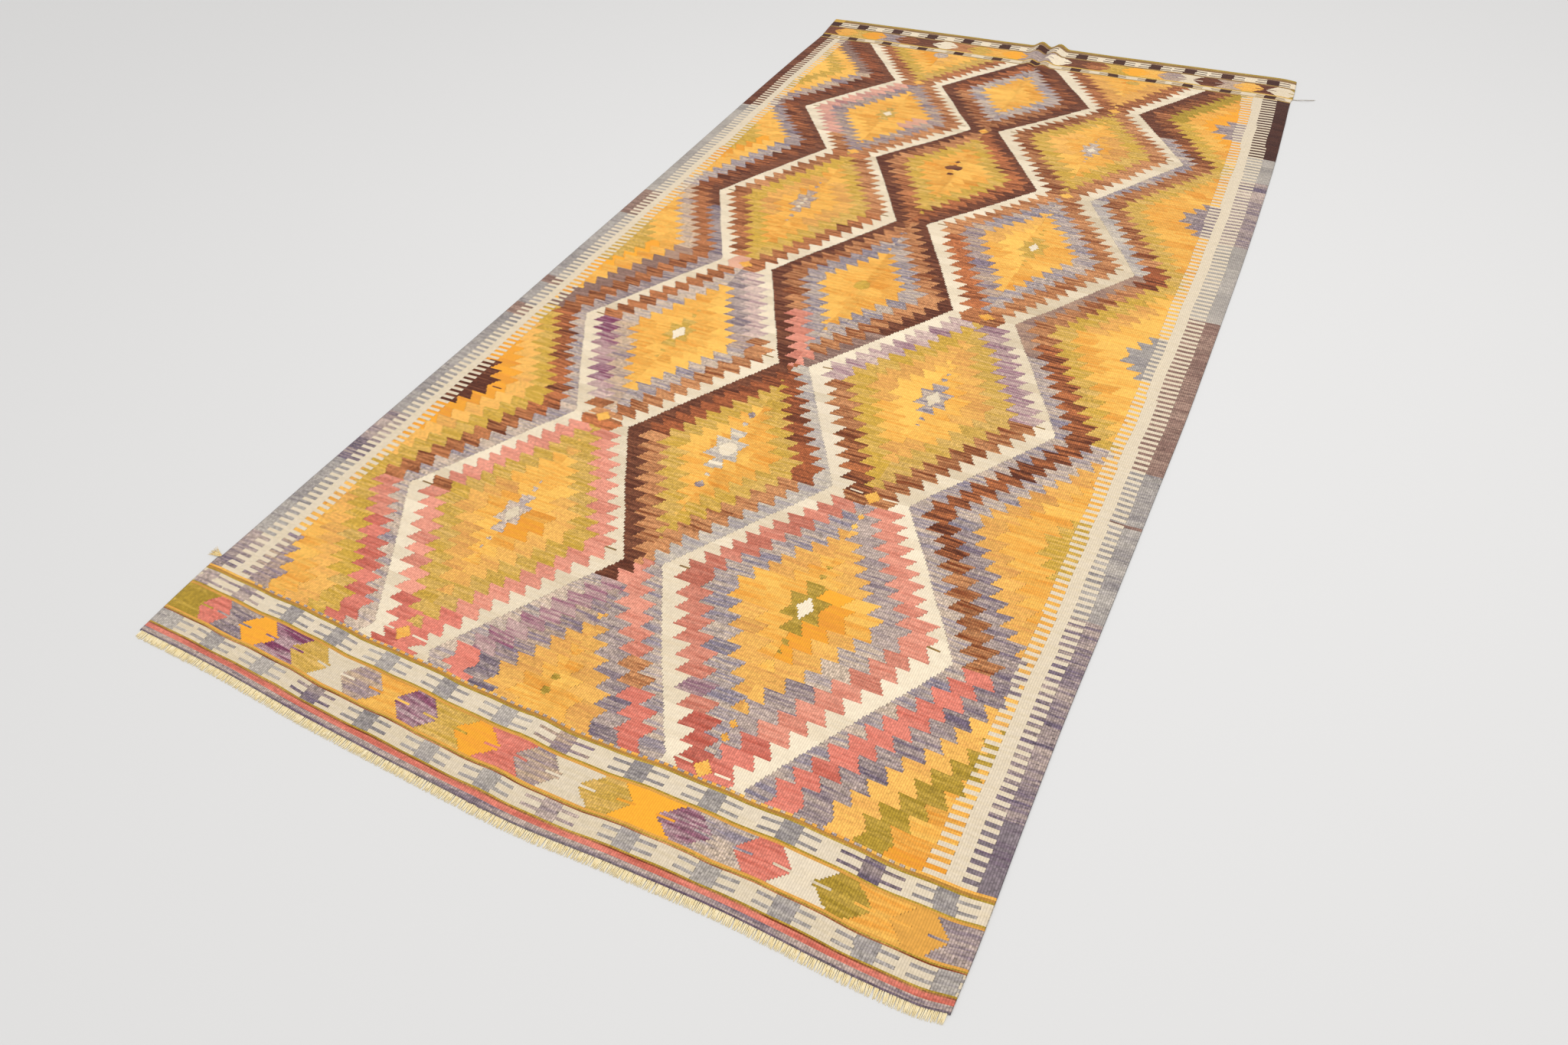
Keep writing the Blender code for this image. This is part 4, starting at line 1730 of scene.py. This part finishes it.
class Recipe:
    """A material's node tree."""

    def __init__(self, name: str) -> None:
        """Starts an empty tree.

        Args:
            name: The real material's name.
        """
        self.material = bpy.data.materials.new(name)
        self.material.use_nodes = True
        self.tree = self.material.node_tree
        self.tree.nodes.clear()

    def add(self, kind: str, inputs: dict | None = None, **settings: object) -> Node:
        """Adds a node.

        Args:
            kind: Its type, without ShaderNode in front.
            inputs: Values or sockets for its inputs, by name or number.
            settings: Its own settings.

        Returns:
            The node.
        """
        node = self.tree.nodes.new("ShaderNode" + kind)
        for name, value in settings.items():
            setattr(node, name, value)
        for name, value in (inputs or {}).items():
            if isinstance(value, NodeSocket):
                self.tree.links.new(value, node.inputs[name])
            else:
                node.inputs[name].default_value = value
        return node

    def math(self, operation: str, *values: object, clamp: bool = False) -> NodeSocket:
        """Adds a sum on one to three numbers or sockets, and gives its result."""
        node = self.add("Math", dict(enumerate(values)), operation=operation, use_clamp=clamp)
        return node.outputs[0]

    def times(self, first: object, second: object) -> NodeSocket:
        """Multiplies two numbers or sockets."""
        return self.math("MULTIPLY", first, second)

    def plus(self, first: object, second: object) -> NodeSocket:
        """Adds two numbers or sockets."""
        return self.math("ADD", first, second)

    def minus(self, first: object, second: object) -> NodeSocket:
        """Takes the second number or socket from the first."""
        return self.math("SUBTRACT", first, second)

    def ripple(self, turns: object) -> NodeSocket:
        """Half sine waves without sign, one for each whole number of turns."""
        return self.math("ABSOLUTE", self.math("SINE", self.times(turns, np.pi)))

    def ramp(self, value: NodeSocket, low: float, high: float) -> NodeSocket:
        """A straight climb from 0 to 1 while value goes from low to high."""
        return self.add("MapRange", {0: value, 1: low, 2: high, 3: 0.0, 4: 1.0}).outputs[0]

    def noise(self, place: NodeSocket, detail: float, scale: float = 1.0) -> NodeSocket:
        """Soft noise from 0 to 1 at a place."""
        return self.add("TexNoise", {"Vector": place, "Scale": scale, "Detail": detail}).outputs[0]

    def darken(self, colour: NodeSocket, light: NodeSocket) -> NodeSocket:
        """Multiplies a colour by an amount of light."""
        tone = self.add("CombineColor", {0: light, 1: light, 2: light}).outputs[0]
        return self.mix(1.0, colour, tone, "MULTIPLY")

    def mix(self, share: object, first: object, second: object, blend: str = "MIX") -> NodeSocket:
        """Mixes two colours by a share from 0 to 1, and gives the result."""
        node = self.add("Mix", data_type="RGBA", blend_type=blend, clamp_factor=True)
        for place, value in ((0, share), (6, first), (7, second)):
            if isinstance(value, NodeSocket):
                self.tree.links.new(value, node.inputs[place])
            else:
                node.inputs[place].default_value = value
        return node.outputs[2]

    def finish(self, colour: object, height: NodeSocket, depth: float, roughness: float,
               sheen: float) -> Material:
        """Closes the tree with a matt, slightly fuzzy surface.

        Args:
            colour: Colour or socket.
            height: Surface height from 0 to 1.
            depth: What a height of 1 is in metres.
            roughness: Of the yarn.
            sheen: Strength of the fuzz of fibre ends.

        Returns:
            The material.
        """
        bump = self.add("Bump", {"Strength": 1.0, "Distance": depth, "Height": height})
        surface = self.add("BsdfPrincipled", {
            "Base Color": colour, "Roughness": roughness, "Specular IOR Level": 0.15, "IOR": 1.5,
            "Sheen Weight": sheen, "Sheen Roughness": 0.6, "Normal": bump.outputs[0],
        })
        self.add("OutputMaterial", {"Surface": surface.outputs[0]})
        return self.material


@dataclass(frozen=True)
class WovenWool:
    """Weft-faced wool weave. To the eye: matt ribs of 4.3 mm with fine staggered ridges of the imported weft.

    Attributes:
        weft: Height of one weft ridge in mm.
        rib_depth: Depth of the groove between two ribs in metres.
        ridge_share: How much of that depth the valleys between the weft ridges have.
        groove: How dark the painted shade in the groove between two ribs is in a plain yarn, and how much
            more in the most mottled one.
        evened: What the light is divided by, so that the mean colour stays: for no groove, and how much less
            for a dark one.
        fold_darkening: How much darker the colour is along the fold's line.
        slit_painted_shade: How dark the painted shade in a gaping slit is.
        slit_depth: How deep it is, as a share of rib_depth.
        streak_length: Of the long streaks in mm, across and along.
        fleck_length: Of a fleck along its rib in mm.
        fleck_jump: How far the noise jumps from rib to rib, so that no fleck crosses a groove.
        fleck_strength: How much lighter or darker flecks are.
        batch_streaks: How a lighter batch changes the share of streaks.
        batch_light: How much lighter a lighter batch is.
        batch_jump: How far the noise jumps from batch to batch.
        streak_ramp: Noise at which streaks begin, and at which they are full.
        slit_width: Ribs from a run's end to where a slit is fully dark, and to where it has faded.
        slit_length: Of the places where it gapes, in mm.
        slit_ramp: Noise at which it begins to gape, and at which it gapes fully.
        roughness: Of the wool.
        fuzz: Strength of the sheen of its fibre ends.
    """

    weft: float = 1.25
    rib_depth: float = 0.0005
    ridge_share: float = 0.45
    groove: tuple = (0.18, 0.55)
    evened: tuple = (1.088, 0.258)
    fold_darkening: float = 0.10
    slit_painted_shade: float = 0.6
    slit_depth: float = 0.8
    streak_length: tuple = (120.0, 7.0)
    fleck_length: float = 4.4
    fleck_jump: float = 3.7
    fleck_strength: float = 2.3
    batch_streaks: float = -0.28
    batch_light: float = 0.085
    batch_jump: float = 9.0
    streak_ramp: tuple = (0.40, 0.64)
    slit_width: tuple = (0.06, 0.24)
    slit_length: float = 3.4
    slit_ramp: tuple = (0.42, 0.60)
    roughness: float = 0.93
    fuzz: float = 0.06

    def build(self) -> Material:
        """Makes the material from what the cloth's faces say about their yarn.

        Formula in words: the light is 1 less the painted shade in the groove between two ribs, evened out
        over the yarn. The darker line along the fold and the painted shade in gaping slits take their shares
        away from it. The dyed colour is multiplied by that light.

        Returns:
            The material.
        """
        recipe = Recipe("hand-spun wool, weft-faced slit weave")
        weave, yarn, streak, run = (
            recipe.add("Attribute", attribute_name=name) for name in ("weave", "yarn", "streak", "run")
        )
        warp, along, fold = recipe.add("SeparateXYZ", {0: weave.outputs["Vector"]}).outputs
        start, end, shade = recipe.add("SeparateXYZ", {0: run.outputs["Vector"]}).outputs
        streaked = self.streaks(recipe, (warp, along, shade), yarn, streak)
        height, valley = self.relief(recipe, warp, along)
        slit = self.slits(recipe, (warp, along), start, end)
        # Painted shade: the groove between two ribs is darkened in the colour, more in mottled yarns, then
        # evened out so that the mean colour stays.
        depth = recipe.plus(recipe.times(yarn.outputs["Alpha"], self.groove[1]), self.groove[0])
        light = recipe.minus(1.0, recipe.times(valley, depth))
        evened = recipe.minus(self.evened[0], recipe.times(depth, self.evened[1]))
        light = recipe.math("DIVIDE", light, evened)
        # Darker along the fold's line.
        light = recipe.times(light, recipe.minus(1.0, recipe.times(fold, self.fold_darkening)))
        # Painted shade in the gaping slits between two colours.
        light = recipe.times(light, recipe.minus(1.0, recipe.times(slit, self.slit_painted_shade)))
        colour = recipe.darken(streaked, light)
        height = recipe.minus(height, recipe.times(slit, self.slit_depth))
        return recipe.finish(colour, height, self.rib_depth, self.roughness, self.fuzz)

    def streaks(self, recipe: Recipe, place: tuple, yarn: Node, streak: Node) -> NodeSocket:
        """The dyed colour: long streaks where a new length of yarn came in, flecks, and the batch's shade.

        Args:
            recipe: The material's tree.
            place: Warp rib, place along the rug in mm, and the batch's shade.
            yarn: The yarn's colour, with the strength of its flecks.
            streak: Its streaks' colour, with their strength.

        Returns:
            The colour.
        """
        warp, along, shade = place
        layer = recipe.times(shade, self.batch_jump)
        across_streak, along_streak = self.streak_length
        long_place = recipe.add("CombineXYZ", {
            0: recipe.times(warp, WARP_PITCH / across_streak),
            1: recipe.times(along, 1 / along_streak),
            2: layer,
        }).outputs[0]
        rib = recipe.math("FLOOR", warp)
        fleck_place = recipe.add("CombineXYZ", {
            0: recipe.times(rib, self.fleck_jump), 1: recipe.times(along, 1 / self.fleck_length), 2: layer,
        }).outputs[0]
        spread = recipe.ramp(recipe.noise(long_place, 2.0), *self.streak_ramp)
        amount = recipe.times(spread, streak.outputs["Alpha"])
        amount = recipe.math("ADD", amount, recipe.times(shade, self.batch_streaks), clamp=True)
        colour = recipe.mix(amount, yarn.outputs["Color"], streak.outputs["Color"])
        fleck = recipe.times(recipe.minus(recipe.noise(fleck_place, 1.0), 0.5), yarn.outputs["Alpha"])
        level = recipe.plus(recipe.times(shade, self.batch_light), recipe.times(fleck, self.fleck_strength))
        return recipe.darken(colour, recipe.plus(level, 1.0))

    def relief(self, recipe: Recipe, warp: NodeSocket, along: NodeSocket) -> tuple[NodeSocket, NodeSocket]:
        """The ribs with their ridges of weft, which are set off by half a ridge from rib to rib.

        Args:
            recipe: The material's tree.
            warp: Warp rib.
            along: Place along the rug in mm.

        Returns:
            Height of the weave from 0 to 1, and how deep in the groove between two ribs a place is.
        """
        rounded = recipe.math("POWER", recipe.ripple(warp), 0.5)
        offset = recipe.times(recipe.math("FLOOR", warp), 0.5)
        ridge = recipe.ripple(recipe.plus(recipe.times(along, 1 / self.weft), offset))
        level = recipe.plus(recipe.times(ridge, self.ridge_share), 1 - self.ridge_share)
        return recipe.times(rounded, level), recipe.minus(1.0, rounded)

    def slits(self, recipe: Recipe, place: tuple, start: NodeSocket, end: NodeSocket) -> NodeSocket:
        """Where a slit gapes between two colours: right at the run's ends, here and there along it.

        Args:
            recipe: The material's tree.
            place: Warp rib, and place along the rug in mm.
            start: Rib at which the run of one colour starts.
            end: Rib at which it ends.

        Returns:
            How far it gapes, from 0 to 1.
        """
        warp, along = place
        near = recipe.math("MINIMUM", recipe.minus(warp, start), recipe.minus(end, warp))
        full, faded = self.slit_width
        close = recipe.add("MapRange", {0: near, 1: full, 2: faded, 3: 1.0, 4: 0.0}).outputs[0]
        spot_along = recipe.times(along, 1 / self.slit_length)
        spot_place = recipe.add("CombineXYZ", {0: warp, 1: spot_along}).outputs[0]
        return recipe.times(close, recipe.ramp(recipe.noise(spot_place, 0.0), *self.slit_ramp))


@dataclass(frozen=True)
class SpunYarn:
    """Plain spun yarn. To the eye: matt, with a slight change of tone along each strand.

    Attributes:
        name: The real material's name.
        colour: sRGB hex.
        other: The tone that it drifts to.
        scale: How often it drifts, in changes per metre.
        fibre: Depth of the unevenness of its fibres in metres.
    """

    name: str
    colour: str
    other: str
    scale: float = 160.0
    fibre: float = 0.0003

    def build(self) -> Material:
        """Makes the material from a noise in object coordinates.

        Returns:
            The material.
        """
        recipe = Recipe(self.name)
        noise = recipe.noise(recipe.add("TexCoord").outputs["Object"], 2.0, self.scale)
        share = recipe.ramp(noise, 0.35, 0.65)
        colour = recipe.mix(share, (*linear(self.colour), 1), (*linear(self.other), 1))
        return recipe.finish(colour, noise, self.fibre, 0.92, 0.08)


# ---------------------------------------------------------------- stage


@dataclass(frozen=True)
class Studio:
    """A pale matt floor under even, soft light, and the camera as the photo has it: metres and watts."""

    floor_half: float = 9.0
    floor_colour: str = "#D9D8D7"
    sky: float = 0.92
    lamp: float = 44.0
    lamp_size: float = 2.6
    lamp_place: tuple = (0.7, -0.2, 3.8)
    lens: float = 24.28
    sensor: float = 36.0
    eye: tuple = (0.9179, -2.1489, 1.5477)
    forward: tuple = (-0.34550, 0.60839, -0.71448)
    up: tuple = (-0.28579, 0.65699, 0.69763)

    def build_floor(self) -> Object:
        """Makes the floor."""
        half = self.floor_half
        points = np.array([(-half, -half, 0), (half, -half, 0), (half, half, 0), (-half, half, 0)])
        floor = solid_mesh("pale_floor", points, np.array([(0, 1, 2), (0, 2, 3)]))
        recipe = Recipe("pale matt floor paint")
        paint = {"Base Color": (*linear(self.floor_colour), 1), "Roughness": 0.9, "Specular IOR Level": 0.1}
        surface = recipe.add("BsdfPrincipled", paint)
        recipe.add("OutputMaterial", {"Surface": surface.outputs[0]})
        floor.data.materials.append(recipe.material)
        return floor

    def build_light(self) -> None:
        """Makes the even sky and one large soft lamp high above the rug's middle."""
        world = bpy.data.worlds.new("studio")
        world.use_nodes = True
        background = world.node_tree.nodes["Background"]
        background.inputs["Color"].default_value = (1, 1, 1, 1)
        background.inputs["Strength"].default_value = self.sky
        bpy.context.scene.world = world
        lamp = bpy.data.lights.new("soft lamp", "AREA")
        lamp.shape = "DISK"
        lamp.size = self.lamp_size
        lamp.energy = self.lamp
        holder = bpy.data.objects.new("soft lamp", lamp)
        place = Vector(self.lamp_place)
        towards_rug = (-place).to_track_quat("-Z", "Y").to_matrix().to_4x4()
        holder.matrix_world = Matrix.Translation(place) @ towards_rug
        bpy.context.scene.collection.objects.link(holder)

    def build_camera(self) -> None:
        """Makes the camera from its measured place and directions."""
        data = bpy.data.cameras.new("camera")
        data.lens = self.lens
        data.sensor_width = self.sensor
        data.sensor_fit = "HORIZONTAL"
        data.clip_start = 0.05
        data.clip_end = 60
        camera = bpy.data.objects.new("camera", data)
        back = -Vector(self.forward).normalized()
        right = Vector(self.up).cross(back).normalized()
        up = back.cross(right)
        turned = Matrix((right, up, back)).transposed().to_4x4()
        camera.matrix_world = Matrix.Translation(Vector(self.eye)) @ turned
        bpy.context.scene.collection.objects.link(camera)
        bpy.context.scene.camera = camera

    def build(self) -> Object:
        """Sets up the whole stage and gives the floor."""
        self.build_light()
        self.build_camera()
        bpy.context.scene.view_settings.view_transform = "Standard"
        return self.build_floor()


@dataclass
class KilimRug:
    """The whole object."""

    shape: ClothShape = field(default_factory=ClothShape)

    def build(self, floor: Object) -> None:
        """Args:
            floor: What it lies on. Not used.
        """
        chart = KilimDesign(self.shape).chart()
        cloth = WovenCloth(self.shape, chart).build(WovenWool().build())
        cut_yarn = SpunYarn("cut warp yarn, cream wool", "#F5E6C0", "#EBD6A2").build()
        gold_yarn = SpunYarn("loose weft yarn, pale gold wool", "#F2DCA4", "#E2BE74").build()
        pale_yarn = SpunYarn("loose yarn, undyed wool", "#B4A99A", "#93887A").build()
        fringe = WarpFringe(self.shape).build(cut_yarn)
        tuft = WeftTuft(self.shape).build(gold_yarn)
        loose = LooseYarn(self.shape).build(pale_yarn)


def main() -> None:
    """Builds stage and rug."""
    logging.basicConfig(level=logging.INFO, format="%(name)s: %(message)s")
    floor = Studio().build()
    KilimRug().build(floor)


if __name__ == "__main__":
    main()
